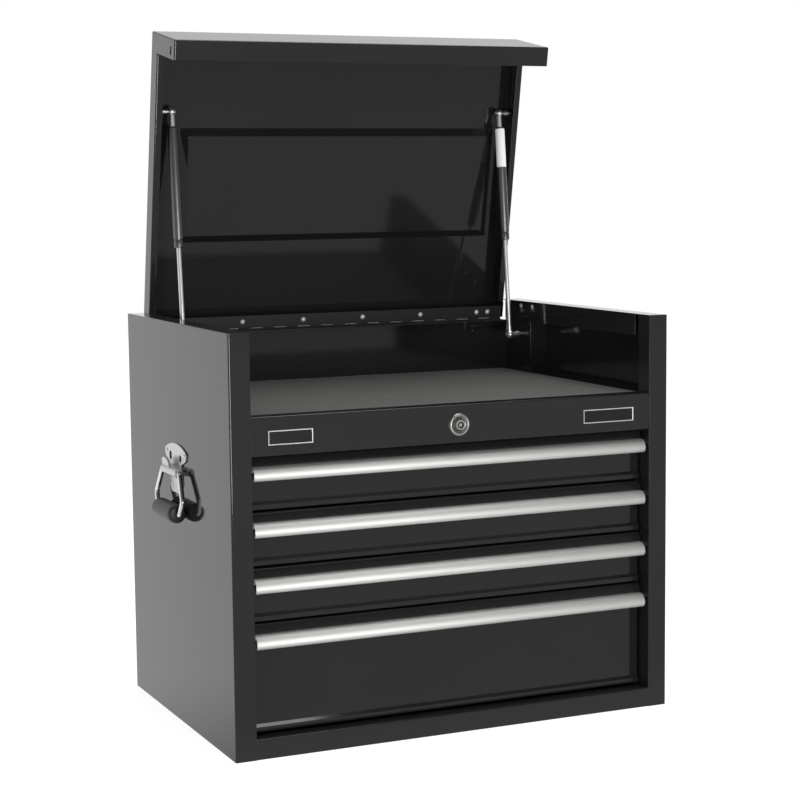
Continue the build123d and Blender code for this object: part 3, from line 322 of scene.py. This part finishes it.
enamel, shader, place = new_finish("gloss_black_enamel", {"IOR": 1.5})
cloud = noise(place, CLOUD_SCALE, 3.0)
film = noise(place, FILM_SCALE, 2.0)
peel = noise(place, PEEL_SCALE, 1.0)
tint(place, cloud, ENAMEL_DARK, ENAMEL_PALE).into(shader.inputs["Base Color"])
(ENAMEL_ROUGH + CLOUD_ROUGH * cloud + FILM_ROUGH * film).into(shader.inputs["Roughness"])
rounded = place.add("ShaderNodeBevel", {"samples": EDGE_SAMPLES}, {"Radius": EDGE_ROUND})
relief(place, peel, PEEL_DEPTH, PEEL_STRENGTH, rounded).into(shader.inputs["Normal"])
finishes["black_paint"] = enamel
print("enamel nodes", len(enamel.node_tree.nodes))

# %% [markdown]
# ## Satin aluminium
#
# The pulls are extruded aluminium, brushed along their length and anodised. Brushing leaves fine lines
# along X, so the noise is drawn out many hundred times that way. It varies the roughness and gives a
# very shallow bump; the metal itself stays pale.

# %% Mix the aluminium
ALUMINIUM_DARK = (0.87, 0.87, 0.85)
ALUMINIUM_PALE = (0.93, 0.93, 0.91)
ALUMINIUM_ROUGH = 0.55
BRUSH_STRETCH = (2.0, 1500.0, 1500.0)
BRUSH_ROUGH = 0.1
BRUSH_DEPTH = 0.00002
BRUSH_STRENGTH = 0.5
HAZE_SCALE = 14.0
HAZE_ROUGH = 0.05

aluminium, shader, place = new_finish("satin_aluminium", {"Metallic": 1.0})
lines = noise(place, 1.0, 3.0, BRUSH_STRETCH)
haze = noise(place, HAZE_SCALE, 2.0)
tint(place, lines, ALUMINIUM_DARK, ALUMINIUM_PALE).into(shader.inputs["Base Color"])
(ALUMINIUM_ROUGH + BRUSH_ROUGH * lines + HAZE_ROUGH * haze).into(shader.inputs["Roughness"])
relief(place, lines, BRUSH_DEPTH, BRUSH_STRENGTH).into(shader.inputs["Normal"])
finishes["satin_aluminium"] = aluminium
print("aluminium nodes", len(aluminium.node_tree.nodes))

# %% [markdown]
# ## Plated metals
#
# The bails are bright chrome, nearly a mirror with a breath of haze. The strut rods and their sockets are
# ground steel, pale and softer. The slides, studs and handle plates are zinc plated and lightly mottled,
# because zinc grows in patches. The lock is grey satin nickel, and its grooves get a near-black nickel
# that paints in the shade falling there. The strut tubes wear a black lacquer so thin that it still
# mirrors like dark metal. All of them share their nodes and differ in numbers: two shades, a roughness,
# its spread, and the scale of the patches.

# %% Mix the metals
GRAIN_SCALE = 900.0
GRAIN_ROUGH = 0.02
GRAIN_DEPTH = 0.00001
GRAIN_STRENGTH = 0.3
METALS = {
    "chrome": ("bright_chrome", (0.78, 0.79, 0.79), (0.86, 0.86, 0.85), 0.05, 0.06, 40.0),
    "nickel": ("satin_nickel", (0.38, 0.38, 0.355), (0.45, 0.45, 0.42), 0.36, 0.06, 40.0),
    # Painted shade: a near-black nickel for the lock's grooves, standing in for the shade that falls in
    # them.
    "painted_groove_shade": ("painted_groove_shade_nickel", (0.08, 0.08, 0.07), (0.11, 0.11, 0.10), 0.4, 0.06, 40.0),
    "zinc_steel": ("bright_zinc", (0.50, 0.51, 0.51), (0.62, 0.62, 0.60), 0.22, 0.14, 120.0),
    "ground_steel": ("ground_steel", (0.82, 0.82, 0.80), (0.90, 0.90, 0.88), 0.3, 0.06, 40.0),
    "strut_black": ("strut_lacquer", (0.155, 0.157, 0.155), (0.19, 0.19, 0.187), 0.32, 0.05, 30.0),
}


def plated(name, dark, pale, rough, spread, patch):
    """A plated metal: two shades and a roughness that spreads with the patches."""
    finish, shader, place = new_finish(name, {"Metallic": 1.0})
    patches = noise(place, patch, 3.0)
    grain = noise(place, GRAIN_SCALE, 1.0)
    tint(place, patches, dark, pale).into(shader.inputs["Base Color"])
    (rough + spread * patches + GRAIN_ROUGH * grain).into(shader.inputs["Roughness"])
    relief(place, grain, GRAIN_DEPTH, GRAIN_STRENGTH).into(shader.inputs["Normal"])
    return finish


for slot, row in METALS.items():
    finishes[slot] = plated(*row)
print("plated", list(METALS))

# %% [markdown]
# ## Foam, rubber and plain blacks
#
# The tray mat and the drawer liners are closed-cell foam with a fine pebbled skin: Voronoi cells make
# the pebbles, a noise their dust. The grip is moulded rubber with a faint grain. The fields of the rail
# plates are a smooth black, and the hinge is a dull one, because no light should glint between its
# knuckles.

# %% Mix the foam
FOAM_DARK = (0.081, 0.080, 0.077)
FOAM_PALE = (0.099, 0.097, 0.093)
FOAM_ROUGH = 0.62
DUST_SCALE = 22.0
DUST_ROUGH = 0.2
PEBBLE_SCALE = 520.0
PEBBLE_DEPTH = 0.0002
PEBBLE_STRENGTH = 0.5

foam, shader, place = new_finish("pebbled_foam", {"IOR": 1.45})
cells = {"Vector": place, "Scale": PEBBLE_SCALE}
pebbles = place.add("ShaderNodeTexVoronoi", inputs=cells, output="Distance")
dust = noise(place, DUST_SCALE, 4.0)
tint(place, dust, FOAM_DARK, FOAM_PALE).into(shader.inputs["Base Color"])
(FOAM_ROUGH + DUST_ROUGH * dust).into(shader.inputs["Roughness"])
relief(place, 1.0 - pebbles, PEBBLE_DEPTH, PEBBLE_STRENGTH).into(shader.inputs["Normal"])
finishes["foam"] = foam
print("foam nodes", len(foam.node_tree.nodes))

# %% Mix the rubber and the blacks
HANDLING_SCALE = 30.0
MOULD_STRENGTH = 0.5
BLACKS = {
    "grip_rubber": (
        "moulded_rubber", (0.016, 0.016, 0.016), (0.024, 0.024, 0.023), 0.36, 0.12, 700.0, 0.00008,
    ),
    "badge": ("badge_black", (0.004, 0.004, 0.004), (0.007, 0.007, 0.007), 0.12, 0.05, 600.0, 0.00003),
    "hinge_black": (
        "dull_black", (0.006, 0.006, 0.006), (0.009, 0.009, 0.009), 0.5, 0.1, 300.0, 0.00002,
    ),
}


def moulded(name, dark, pale, rough, spread, grain_scale, grain_depth):
    """A moulded or painted black: two shades, a roughness and a fine grain."""
    finish, shader, place = new_finish(name, {"IOR": 1.5})
    patches = noise(place, HANDLING_SCALE, 3.0)
    grain = noise(place, grain_scale, 2.0)
    tint(place, patches, dark, pale).into(shader.inputs["Base Color"])
    (rough + spread * patches).into(shader.inputs["Roughness"])
    relief(place, grain, grain_depth, MOULD_STRENGTH).into(shader.inputs["Normal"])
    return finish


for slot, row in BLACKS.items():
    finishes[slot] = moulded(*row)
print("moulded", list(BLACKS))

# %% [markdown]
# ## Dressing the solids
#
# The record gives each CAD solid a slot, and each slot has a finish by now. A few solids look different
# from the rest of their slot: the dull hinge, the bright rivet heads, and the rods and sockets of the
# struts. These get their own finish afterwards.

# %% Dress the CAD solids
OWN_FINISH = {
    "hinge_black": ("hinge_pin", "case_hinge_leaf", "lid_hinge_leaf"),
    "satin_aluminium": ("lid_hinge_rivets", "case_rivets"),
    "ground_steel": (
        "right_strut_rod",
        "right_strut_upper_socket",
        "right_strut_lower_socket",
        "left_strut_rod",
        "left_strut_upper_socket",
        "left_strut_lower_socket",
    ),
}

slots = {entry["node"]: entry["material_slot"] for entry in frame["record"]["subparts"]}
for node, solid in nodes.items():
    solid.data.materials.clear()
    solid.data.materials.append(finishes[slots[node]])
for finish, chosen in OWN_FINISH.items():
    for node in chosen:
        nodes[node].data.materials[0] = finishes[finish]
print("dressed", len(slots), "solids in", len(finishes), "finishes")

# %% [markdown]
# ## Tracing and spinning
#
# Most small metal pieces are one outline, drawn out straight or spun round an axis. By hand that is a
# plane merged to a point, and the point extruded from corner to corner. The same operators do it here.
# A curve object would draw the outline too, but it would then have to be turned into a mesh.

# %% Trace an outline
MILLI = 0.001
MERGE_REACH = 0.000001


def trace(name, corners):
    """Draw an open chain of edges through the corners, in millimetres, and stay in edit mode."""
    bpy.ops.object.select_all(action="DESELECT")
    bpy.ops.mesh.primitive_plane_add(size=MILLI)
    piece = bpy.context.object
    piece.name = name
    bpy.ops.object.mode_set(mode="EDIT")
    bpy.ops.mesh.select_mode(type="VERT")
    bpy.ops.mesh.select_all(action="SELECT")
    bpy.ops.mesh.merge(type="CENTER")
    points = [Vector(corner) * MILLI for corner in corners]
    bpy.ops.transform.translate(value=points[0])
    for before, after in zip(points, points[1:]):
        bpy.ops.mesh.extrude_vertices_move(TRANSFORM_OT_translate={"value": after - before})
    bpy.ops.mesh.select_all(action="SELECT")
    return piece


def arc(across, up, radius, first, last, steps):
    """Points of a round as pairs, from one angle in degrees to another."""
    angles = [radians(first + (last - first) * step / steps) for step in range(steps + 1)]
    return [(across + radius * cos(angle), up + radius * sin(angle)) for angle in angles]


def close_up():
    """Merge what lies together, turn the faces outwards and leave edit mode."""
    bpy.ops.mesh.select_all(action="SELECT")
    bpy.ops.mesh.remove_doubles(threshold=MERGE_REACH)
    bpy.ops.mesh.normals_make_consistent(inside=False)
    bpy.ops.object.mode_set(mode="OBJECT")


def draw_out(name, corners, way):
    """Fill an outline and extrude it by a vector, in millimetres."""
    piece = trace(name, corners)
    bpy.ops.mesh.remove_doubles(threshold=MERGE_REACH)
    bpy.ops.mesh.edge_face_add()
    bpy.ops.mesh.extrude_region_move(TRANSFORM_OT_translate={"value": Vector(way) * MILLI})
    close_up()
    return piece


def lathe(name, corners, centre, axis, steps):
    """Spin an outline round an axis through a centre, both in the chest's frame."""
    piece = trace(name, corners)
    bpy.ops.mesh.spin(steps=steps, angle=2 * pi, center=Vector(centre) * MILLI, axis=axis)
    close_up()
    return piece


print("outlines are in units of", MILLI, "m")

# %% Finish a piece
def ease(piece, width, segments=2, angle=30.0):
    """Round the sharp edges by a bevel, in millimetres, and smooth the shading in between."""
    if width:
        bpy.ops.object.modifier_add(type="BEVEL")
        bevel = piece.modifiers[-1]
        bevel.width = width * MILLI
        bevel.segments = segments
        bevel.limit_method = "ANGLE"
        bevel.angle_limit = radians(angle)
        bpy.ops.object.modifier_apply(modifier=bevel.name)
    bpy.ops.object.shade_smooth_by_angle(angle=radians(angle))


def copy_to(piece, name, shift):
    """Copy a finished piece, mesh and all, and move the copy within its mesh."""
    bpy.ops.object.select_all(action="DESELECT")
    piece.select_set(True)
    bpy.context.view_layer.objects.active = piece
    bpy.ops.object.duplicate(linked=False)
    copy = bpy.context.object
    copy.name = name
    bpy.ops.transform.translate(value=Vector(shift) * MILLI)
    bpy.ops.object.transform_apply(location=True, rotation=True, scale=True)
    return copy


def to_each_drawer(piece, prefix, heights):
    """Copy a piece of the first drawer to the others; return the pieces by drawer."""
    first, *others = heights
    pieces = {first: piece}
    for drawer in others:
        rise = heights[drawer] - heights[first]
        pieces[drawer] = copy_to(piece, prefix + drawer, (0.0, 0.0, rise))
    return pieces


def mirror_to(piece, name):
    """Copy a piece to the other side of the chest and turn its faces outwards again."""
    copy = copy_to(piece, name, (0.0, 0.0, 0.0))
    bpy.ops.object.mode_set(mode="EDIT")
    bpy.ops.mesh.select_all(action="SELECT")
    bpy.ops.transform.mirror(constraint_axis=(True, False, False), center_override=(0.0, 0.0, 0.0))
    close_up()
    return copy


def settle(piece, body, slot, *stands_for):
    """Give a piece its finish and its body, and hide the solids that it stands for."""
    piece.data.materials.clear()
    piece.data.materials.append(finishes[slot])
    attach(piece, body)
    if stands_for:
        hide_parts(*stands_for)
    print(piece.name, "on", body, "has", len(piece.data.polygons), "faces")


print("pieces are finished by", ease.__name__, copy_to.__name__, settle.__name__)

# %% [markdown]
# ## The drawer pulls
#
# Each drawer has a hood of extruded aluminium over its whole width: a roof that falls towards the drawer,
# a round nose that curls in more tightly below, and a short leg against the drawer's face. A real one is
# pushed through a die, and the mesh is made the same way: the section is traced once, filled, and
# extruded along X. The die's sharp corners are eased by a bevel. One pull is modelled and copied to the
# other three drawers.

# %% Extrude the pulls
FACE_Y = -203.0
PULL_REACH = 25.0
PULL_BROW = 12.6
PULL_EYE = 14.5
PULL_FALL = 93.0
PULL_ROOT = 2.6
PULL_ROOF = 1.7
PULL_CHIN = 7.5
PULL_WALL = 2.0
PULL_LEG = 12.0
PULL_HALF = 303.0
PULL_CURL = 242.5
PULL_EASE = 0.35
BROW_STEPS = 20
CHIN_STEPS = 12
PULL_CROWNS = {"drawer_1": 400.7, "drawer_2": 324.2, "drawer_3": 247.7, "drawer_4": 171.2}

crown = PULL_CROWNS["drawer_1"]
brow = (FACE_Y - PULL_REACH + PULL_BROW, crown - PULL_EYE)
chin = (FACE_Y - PULL_REACH + PULL_CHIN, crown - PULL_EYE)
section = arc(*brow, PULL_BROW, 180.0 - PULL_FALL, 180.0, BROW_STEPS)[:-1]
section += arc(*chin, PULL_CHIN, 180.0, PULL_CURL, CHIN_STEPS)
section += arc(*chin, PULL_CHIN - PULL_WALL, PULL_CURL, 180.0, CHIN_STEPS)[:-1]
section += arc(*brow, PULL_BROW - PULL_WALL, 180.0, 180.0 - PULL_FALL, BROW_STEPS)
section += [
    (FACE_Y - PULL_WALL, crown - PULL_ROOT - PULL_ROOF),
    (FACE_Y - PULL_WALL, crown - PULL_LEG),
    (FACE_Y, crown - PULL_LEG),
    (FACE_Y, crown - PULL_ROOT),
]
corners = [(-PULL_HALF, y, z) for y, z in section]
pull = draw_out("pull_drawer_1", corners, (2 * PULL_HALF, 0.0, 0.0))
ease(pull, PULL_EASE, angle=40.0)
for drawer, piece in to_each_drawer(pull, "pull_", PULL_CROWNS).items():
    settle(piece, drawer, "satin_aluminium", drawer + "_pull")

# %% [markdown]
# ## The rolled edges above the pulls
#
# Above its pull the front sheet of a drawer leans back to the top edge, and so it mirrors the dim ceiling
# while the face below mirrors the floor. The solid is square there. A thin enamelled strip with a curved
# front stands on the pull's roof and gives the edge its roll. It is traced and extruded as the pull was.

# %% Roll the edges
ROLL_HALF = 306.0
ROLL = [
    (0.0, -2.5), (-7.6, -2.0), (-7.4, -1.2), (-6.4, 1.2), (-5.2, 3.6),
    (-3.8, 6.0), (-2.1, 8.4), (-0.4, 10.3), (0.0, 10.4),
]

corners = [(-ROLL_HALF, FACE_Y + y, crown + z) for y, z in ROLL]
edge = draw_out("rolled_edge_drawer_1", corners, (2 * ROLL_HALF, 0.0, 0.0))
ease(edge, 0.0)
for drawer, piece in to_each_drawer(edge, "rolled_edge_", PULL_CROWNS).items():
    settle(piece, drawer, "black_paint")

# %% [markdown]
# ## The foam mat and the drawer liners
#
# A mat of closed-cell foam lies in the tray and a thinner liner in each drawer. Foam cut from a roll never
# lies quite flat, so the sheet starts as a fine grid, is extruded to its thickness, gets rounded corners
# and a soft rim, and its top is displaced by a few tenths of a millimetre of slow noise.

# %% Lay the foam
WAVE_SIZE = 0.09
NEARLY = 0.00001
GRID_ACROSS = 60
GRID_BACK = 42
MAT_LOW = (-303.0, -204.0, 463.0)
MAT_HIGH = (303.0, 222.0, 466.5)


def foam_sheet(name, low, high, corner, rim, wave):
    """A sheet between two corners, in millimetres, with round corners, a soft rim and a wavy top."""
    low, high = Vector(low) * MILLI, Vector(high) * MILLI
    size = high - low
    bpy.ops.object.select_all(action="DESELECT")
    bpy.ops.mesh.primitive_grid_add(x_subdivisions=GRID_ACROSS, y_subdivisions=GRID_BACK, size=1.0)
    sheet = bpy.context.object
    sheet.name = name
    bpy.ops.object.mode_set(mode="EDIT")
    bpy.ops.mesh.select_all(action="SELECT")
    bpy.ops.transform.resize(value=(size.x, size.y, 1.0))
    bpy.ops.transform.translate(value=((low.x + high.x) / 2, (low.y + high.y) / 2, low.z))
    bpy.ops.mesh.extrude_region_move(TRANSFORM_OT_translate={"value": (0.0, 0.0, size.z)})
    close_up()
    round_corners(sheet, low, high, corner * MILLI)
    soften_rim(sheet, rim * MILLI)
    ripple(sheet, high.z, wave * MILLI)
    bpy.ops.object.shade_smooth_by_angle(angle=radians(40.0))
    return sheet


def pick_edges(piece, test):
    """Select the edges that pass a test, and stay in edit mode."""
    bpy.ops.object.mode_set(mode="EDIT")
    bpy.ops.mesh.select_mode(type="EDGE")
    bpy.ops.mesh.select_all(action="DESELECT")
    bpy.ops.object.mode_set(mode="OBJECT")
    for edge in piece.data.edges:
        edge.select = test(edge)
    bpy.ops.object.mode_set(mode="EDIT")


def round_corners(sheet, low, high, radius):
    """Round the four upright corners of a sheet."""

    def upright(edge):
        first, second = (sheet.data.vertices[index].co for index in edge.vertices)
        at_side = min(abs(first.x - low.x), abs(first.x - high.x)) < NEARLY
        at_end = min(abs(first.y - low.y), abs(first.y - high.y)) < NEARLY
        return at_side and at_end and abs(first.z - second.z) > NEARLY

    pick_edges(sheet, upright)
    bpy.ops.mesh.bevel(offset=radius, segments=5, affect="EDGES")
    bpy.ops.object.mode_set(mode="OBJECT")


def soften_rim(sheet, radius):
    """Round the upper rim of a sheet, where a face of its side meets its top."""
    tilts = {}
    for face in sheet.data.polygons:
        for key in face.edge_keys:
            tilts.setdefault(key, []).append(face.normal.z)

    def at_rim(edge):
        return max(tilts[edge.key]) > 0.9 and min(tilts[edge.key]) < 0.1

    pick_edges(sheet, at_rim)
    bpy.ops.mesh.bevel(offset=radius, segments=3, affect="EDGES")
    bpy.ops.object.mode_set(mode="OBJECT")


def ripple(sheet, top, height):
    """Let the top of a sheet rise and fall by slow noise, never above its own height."""
    bpy.ops.object.vertex_group_add()
    group = sheet.vertex_groups[-1]
    group.add([v.index for v in sheet.data.vertices if v.co.z > top - NEARLY], 1.0, "REPLACE")
    clouds = bpy.data.textures.new(sheet.name + "_ripple", "CLOUDS")
    clouds.noise_scale = WAVE_SIZE
    bpy.ops.object.modifier_add(type="DISPLACE")
    displace = sheet.modifiers[-1]
    displace.texture = clouds
    displace.texture_coords = "LOCAL"
    displace.direction = "Z"
    displace.vertex_group = group.name
    displace.mid_level = 1.0
    displace.strength = height
    bpy.ops.object.modifier_apply(modifier=displace.name)
    sheet.vertex_groups.clear()


mat = foam_sheet("foam_tray_mat", MAT_LOW, MAT_HIGH, corner=3.5, rim=0.8, wave=0.5)
settle(mat, "case", "foam", "tray_mat")

# %% Line the drawers
LINER_HALF = 291.3
LINER_FRONT = -201.0
LINER_BACK = 193.0
LINER_THICKNESS = 2.0
LINER_FEET = {"drawer_1": 344.8, "drawer_2": 268.3, "drawer_3": 191.8, "drawer_4": 38.3}

foot = LINER_FEET["drawer_1"]
low = (-LINER_HALF, LINER_FRONT, foot)
high = (LINER_HALF, LINER_BACK, foot + LINER_THICKNESS)
liner = foam_sheet("liner_drawer_1", low, high, corner=3.0, rim=0.5, wave=0.3)
for drawer, piece in to_each_drawer(liner, "liner_", LINER_FEET).items():
    settle(piece, drawer, "foam", drawer + "_liner")

# %% [markdown]
# ## The lock
#
# The lock is for a round key: a satin bezel with a rounded rim falls to a groove, and inside it stands
# the plug with its ring-shaped keyway and a core in the middle. Every part of it is round, so each of
# the two pieces is one outline spun about the lock's axis. The plug stays a separate piece, because it
# turns in the bezel. Groove and keyway get a near-black nickel: painted shade, standing in for the shade
# that falls into them.

# %% Turn the lock
LOCK_FACE = -229.0
LOCK_HEIGHT = 439.1
LOCK_AXIS = (0.0, 1.0, 0.0)
LOCK_CENTRE = (0.0, LOCK_FACE, LOCK_HEIGHT)
LOCK_STEPS = 72
BEZEL = [
    (8.55, -12.5), (10.0, -12.5), (10.0, 0.0), (16.0, 0.0), (16.0, 0.7), (15.8, 1.5), (15.3, 2.3),
    (14.6, 3.0), (13.8, 3.4), (13.1, 3.5), (12.4, 3.3), (11.8, 2.8), (11.2, 2.2), (10.6, 1.7),
    (9.9, 1.3), (9.2, 1.0), (8.8, 0.8), (8.55, 0.5), (8.55, -12.5),
]
BEZEL_GROOVE = (8.5, 9.1)
PLUG = [
    (0.0, -18.5), (3.6, -18.5), (4.0, -18.1), (4.0, -12.5), (8.5, -12.5), (8.5, 0.2), (8.3, 0.4),
    (7.1, 0.5), (7.05, 5.2), (6.9, 5.75), (6.5, 6.0), (5.1, 6.0), (4.85, 5.85), (4.7, 5.5), (4.7, 2.0),
    (2.7, 2.0), (2.7, 5.1), (2.55, 5.45), (2.2, 5.6), (0.0, 5.6),
]
PLUG_KEYWAY = (2.65, 4.72)
PLUG_GROOVE = (7.2, 8.6)


def turned(outline):
    """Corners of a lock outline, each a radius and a rise in front of the rail."""
    return [(radius, LOCK_FACE - rise, LOCK_HEIGHT) for radius, rise in outline]


def darken(piece, *grooves):
    """Plate a lock piece in nickel, and paint shade into its grooves, each between two radii."""
    piece.data.materials[0] = finishes["nickel"]
    piece.data.materials.append(finishes["painted_groove_shade"])
    for face in piece.data.polygons:
        radius = Vector((face.center.x, face.center.z - LOCK_HEIGHT * MILLI)).length / MILLI
        # Faces inside a groove take the painted shade.
        face.material_index = int(any(inner < radius < outer for inner, outer in grooves))


bezel = lathe("lock_bezel", turned(BEZEL), LOCK_CENTRE, LOCK_AXIS, LOCK_STEPS)
ease(bezel, 0.0, angle=32.0)
settle(bezel, "case", "chrome", "lock_housing")
darken(bezel, BEZEL_GROOVE)
plug = lathe("lock_barrel", turned(PLUG), LOCK_CENTRE, LOCK_AXIS, LOCK_STEPS)
ease(plug, 0.0, angle=12.0)
settle(plug, "lock", "chrome", "lock_plug")
darken(plug, PLUG_KEYWAY, PLUG_GROOVE)

# %% [markdown]
# ## The strut tubes
#
# A gas strut's tube is drawn steel, lacquered black, closed by a rolled-in end above and by the guide
# collar below, with a groove between tube and collar. It is one outline spun about the strut's own
# axis, which leans, so the outline's corners are placed along that axis first. The right tube is then
# mirrored to the left.

# %% Spin the strut tubes
STRUT_X = 275.5
BALL_UPPER = Vector((STRUT_X, 180.9626, 883.6481))
BALL_LOWER = Vector((STRUT_X, 146.5, 528.3))
STRUT_DOWN = (BALL_LOWER - BALL_UPPER).normalized()
ACROSS = Vector((1.0, 0.0, 0.0))
TUBE_STEPS = 48
TUBE = [
    (0.0, 23.0), (5.4, 23.0), (6.4, 23.2), (7.1, 23.8), (7.45, 24.7), (7.5, 26.0), (7.5, 190.6),
    (7.3, 191.4), (6.5, 191.6), (6.4, 192.2), (6.5, 192.8), (7.1, 193.0), (7.2, 193.4), (7.2, 203.2),
    (7.0, 204.0), (6.5, 204.5), (3.55, 204.5), (3.55, 192.5), (6.2, 192.5), (6.2, 29.0), (0.0, 29.0),
]


def along_strut(outline):
    """Corners of a strut outline, each a radius and a distance down from the upper ball."""
    return [BALL_UPPER + STRUT_DOWN * reach + ACROSS * radius for radius, reach in outline]


right_tube = lathe("right_gas_tube", along_strut(TUBE), BALL_UPPER, STRUT_DOWN, TUBE_STEPS)
ease(right_tube, 0.0, angle=38.0)
left_tube = mirror_to(right_tube, "left_gas_tube")
settle(right_tube, "right_strut_tube", "strut_black", "right_strut_tube")
settle(left_tube, "left_strut_tube", "strut_black", "left_strut_tube")

# %% [markdown]
# ## A paper sleeve on the right strut
#
# A strip of white paper is wrapped round the upper end of the right tube and left blank. It is one
# straight line spun most of the way round the tube, so that its two ends leave a narrow seam, and a
# solidify modifier gives it the thickness of paper.

# %% Wrap the sleeve
SLEEVE = [(7.53, 25.6), (7.53, 87.0)]
SLEEVE_TURN = 345.0
SLEEVE_STEPS = 44
PAPER_THICKNESS = 0.00012
PAPER_DARK = (0.80, 0.80, 0.78)
PAPER_PALE = (0.88, 0.88, 0.86)
PAPER_ROUGH = 0.5
FIBRE_SCALE = 160.0
FIBRE_ROUGH = 0.2
FIBRE_DEPTH = 0.00004
FIBRE_STRENGTH = 0.4

finishes["paper"], shader, place = new_finish("label_paper", {"IOR": 1.45})
fibre = noise(place, FIBRE_SCALE, 4.0)
tint(place, fibre, PAPER_DARK, PAPER_PALE).into(shader.inputs["Base Color"])
(PAPER_ROUGH + FIBRE_ROUGH * fibre).into(shader.inputs["Roughness"])
relief(place, fibre, FIBRE_DEPTH, FIBRE_STRENGTH).into(shader.inputs["Normal"])

sleeve = trace("paper_sleeve", along_strut(SLEEVE))
centre = BALL_UPPER * MILLI
bpy.ops.mesh.spin(steps=SLEEVE_STEPS, angle=radians(SLEEVE_TURN), center=centre, axis=STRUT_DOWN)
close_up()
bpy.ops.object.modifier_add(type="SOLIDIFY")
sleeve.modifiers[-1].thickness = PAPER_THICKNESS
sleeve.modifiers[-1].offset = 1.0
bpy.ops.object.modifier_apply(modifier=sleeve.modifiers[-1].name)
bpy.ops.object.shade_smooth_by_angle(angle=radians(30.0))
sleeve.data.materials.append(finishes["paper"])
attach(sleeve, "right_strut_tube")
print("sleeve", round(SLEEVE[1][1] - SLEEVE[0][1], 1), "mm long")

# %% [markdown]
# ## The plates on the rail
#
# Two thin plates sit on the lock rail, left bare: a black field inside a narrow bright frame. A frame is
# a rectangle whose face is inset, and the inner face is pressed back, so that field and frame are one
# sheet with two finishes. The faces in front decide which finish goes where.

# %% Press the plates
BADGE_Z = (428.15, 447.65)
BADGE_FACE = -229.0
BADGE_BODY = 0.8
BADGE_FRAME = 1.3
BADGE_STEP = 0.4
BADGE_EASE = 0.12
FIELD_TRIM = 0.2
FIELD_HALF = 8.5
BADGES = {"left_rail_plate": (-283.0, -219.0), "right_rail_plate": (198.5, 280.5)}


def rail_plate(name, span):
    """A plate with a raised frame; its inner field is pressed back by an inset."""
    low = Vector((span[0], BADGE_FACE - BADGE_BODY - BADGE_STEP, BADGE_Z[0])) * MILLI
    high = Vector((span[1], BADGE_FACE, BADGE_Z[1])) * MILLI
    bpy.ops.object.select_all(action="DESELECT")
    bpy.ops.mesh.primitive_cube_add(size=1.0, location=(low + high) / 2)
    plate = bpy.context.object
    plate.name = name
    plate.scale = high - low
    bpy.ops.object.transform_apply(location=True, rotation=True, scale=True)
    bpy.ops.object.mode_set(mode="EDIT")
    bpy.ops.mesh.select_mode(type="FACE")
    bpy.ops.mesh.select_all(action="DESELECT")
    bpy.ops.object.mode_set(mode="OBJECT")
    for face in plate.data.polygons:
        face.select = face.normal.y < -0.9
    bpy.ops.object.mode_set(mode="EDIT")
    bpy.ops.mesh.inset(thickness=BADGE_FRAME * MILLI)
    bpy.ops.transform.translate(value=(0.0, BADGE_STEP * MILLI, 0.0))
    bpy.ops.object.mode_set(mode="OBJECT")
    return plate


for name, span in BADGES.items():
    plate = rail_plate(name, span)
    ease(plate, BADGE_EASE)
    bpy.ops.object.shade_flat()
    settle(plate, "case", "badge", "rail_badges")
    plate.data.materials.append(finishes["satin_aluminium"])
    from_x, to_x = span[0] + BADGE_FRAME + FIELD_TRIM, span[1] - BADGE_FRAME - FIELD_TRIM
    for face in plate.data.polygons:
        middle = face.center / MILLI
        field = from_x < middle.x < to_x and abs(middle.z - sum(BADGE_Z) / 2) < FIELD_HALF
        face.material_index = 0 if field else 1

# %% [markdown]
# ## The grips
#
# A soft moulded grip sits on the lower run of each bail. It is round, a little fuller in the middle, with
# a shallow ring near each end and rounded ends, so it is one outline spun round the wire. The bore lets
# the wire through.

# %% Spin the grips
GRIP_X = 351.3
GRIP_Z = 311.6
GRIP_AXIS = (0.0, 1.0, 0.0)
GRIP_STEPS = 56
GRIP_END = [(3.55, -41.0), (8.5, -41.0), (10.6, -40.6), (12.2, -39.6), (13.0, -38.2), (13.2, -36.6)]
GRIP_RING = [(13.25, -35.2), (12.85, -34.8), (12.85, -34.2), (13.25, -33.8)]
GRIP_BELLY = [(13.4, -20.0), (13.5, 0.0)]


def grip_outline():
    """Corners from one end of the grip to the other, each a radius and a place along it."""
    near = GRIP_END + GRIP_RING + GRIP_BELLY
    far = [(radius, -along) for radius, along in reversed(near[:-1])]
    return near + far + [near[0]]


corners = [(GRIP_X + radius, along, GRIP_Z) for radius, along in grip_outline()]
right_grip = lathe("right_soft_grip", corners, (GRIP_X, 0.0, GRIP_Z), GRIP_AXIS, GRIP_STEPS)
ease(right_grip, 0.0)
left_grip = mirror_to(right_grip, "left_soft_grip")
settle(right_grip, "right_handle", "grip_rubber", "right_handle_grip")
settle(left_grip, "left_handle", "grip_rubber", "left_handle_grip")

# %% [markdown]
# ## The stop ears
#
# At the rear end of its barrel each handle plate has an ear, folded outwards, that stops the bail. It is a
# small tongue of sheet: its outline is traced on a leaning plane, filled, extruded to its thickness and
# eased. It stays with the case while the bail swings below it.

# %% Fold the ears
EAR_FOOT = 373.2
EAR_ROOT_X = 347.0
EAR_LEAN = 0.12
EAR_THICKNESS = 2.0
EAR_EASE = 0.6
EAR = [
    (3.0, 0.0), (33.0, 0.0), (34.4, 4.8), (33.0, 9.5), (28.0, 12.6),
    (18.0, 13.3), (9.0, 12.0), (4.0, 8.5), (2.8, 4.0), (3.0, 0.0),
]

corners = [(EAR_ROOT_X + rise * EAR_LEAN, along, EAR_FOOT + rise) for along, rise in EAR]
outwards = Vector((1.0, 0.0, -EAR_LEAN)).normalized() * EAR_THICKNESS
right_ear = draw_out("right_stop_ear", corners, outwards)
ease(right_ear, EAR_EASE, segments=3)
left_ear = mirror_to(right_ear, "left_stop_ear")
settle(right_ear, "case", "zinc_steel")
settle(left_ear, "case", "zinc_steel")
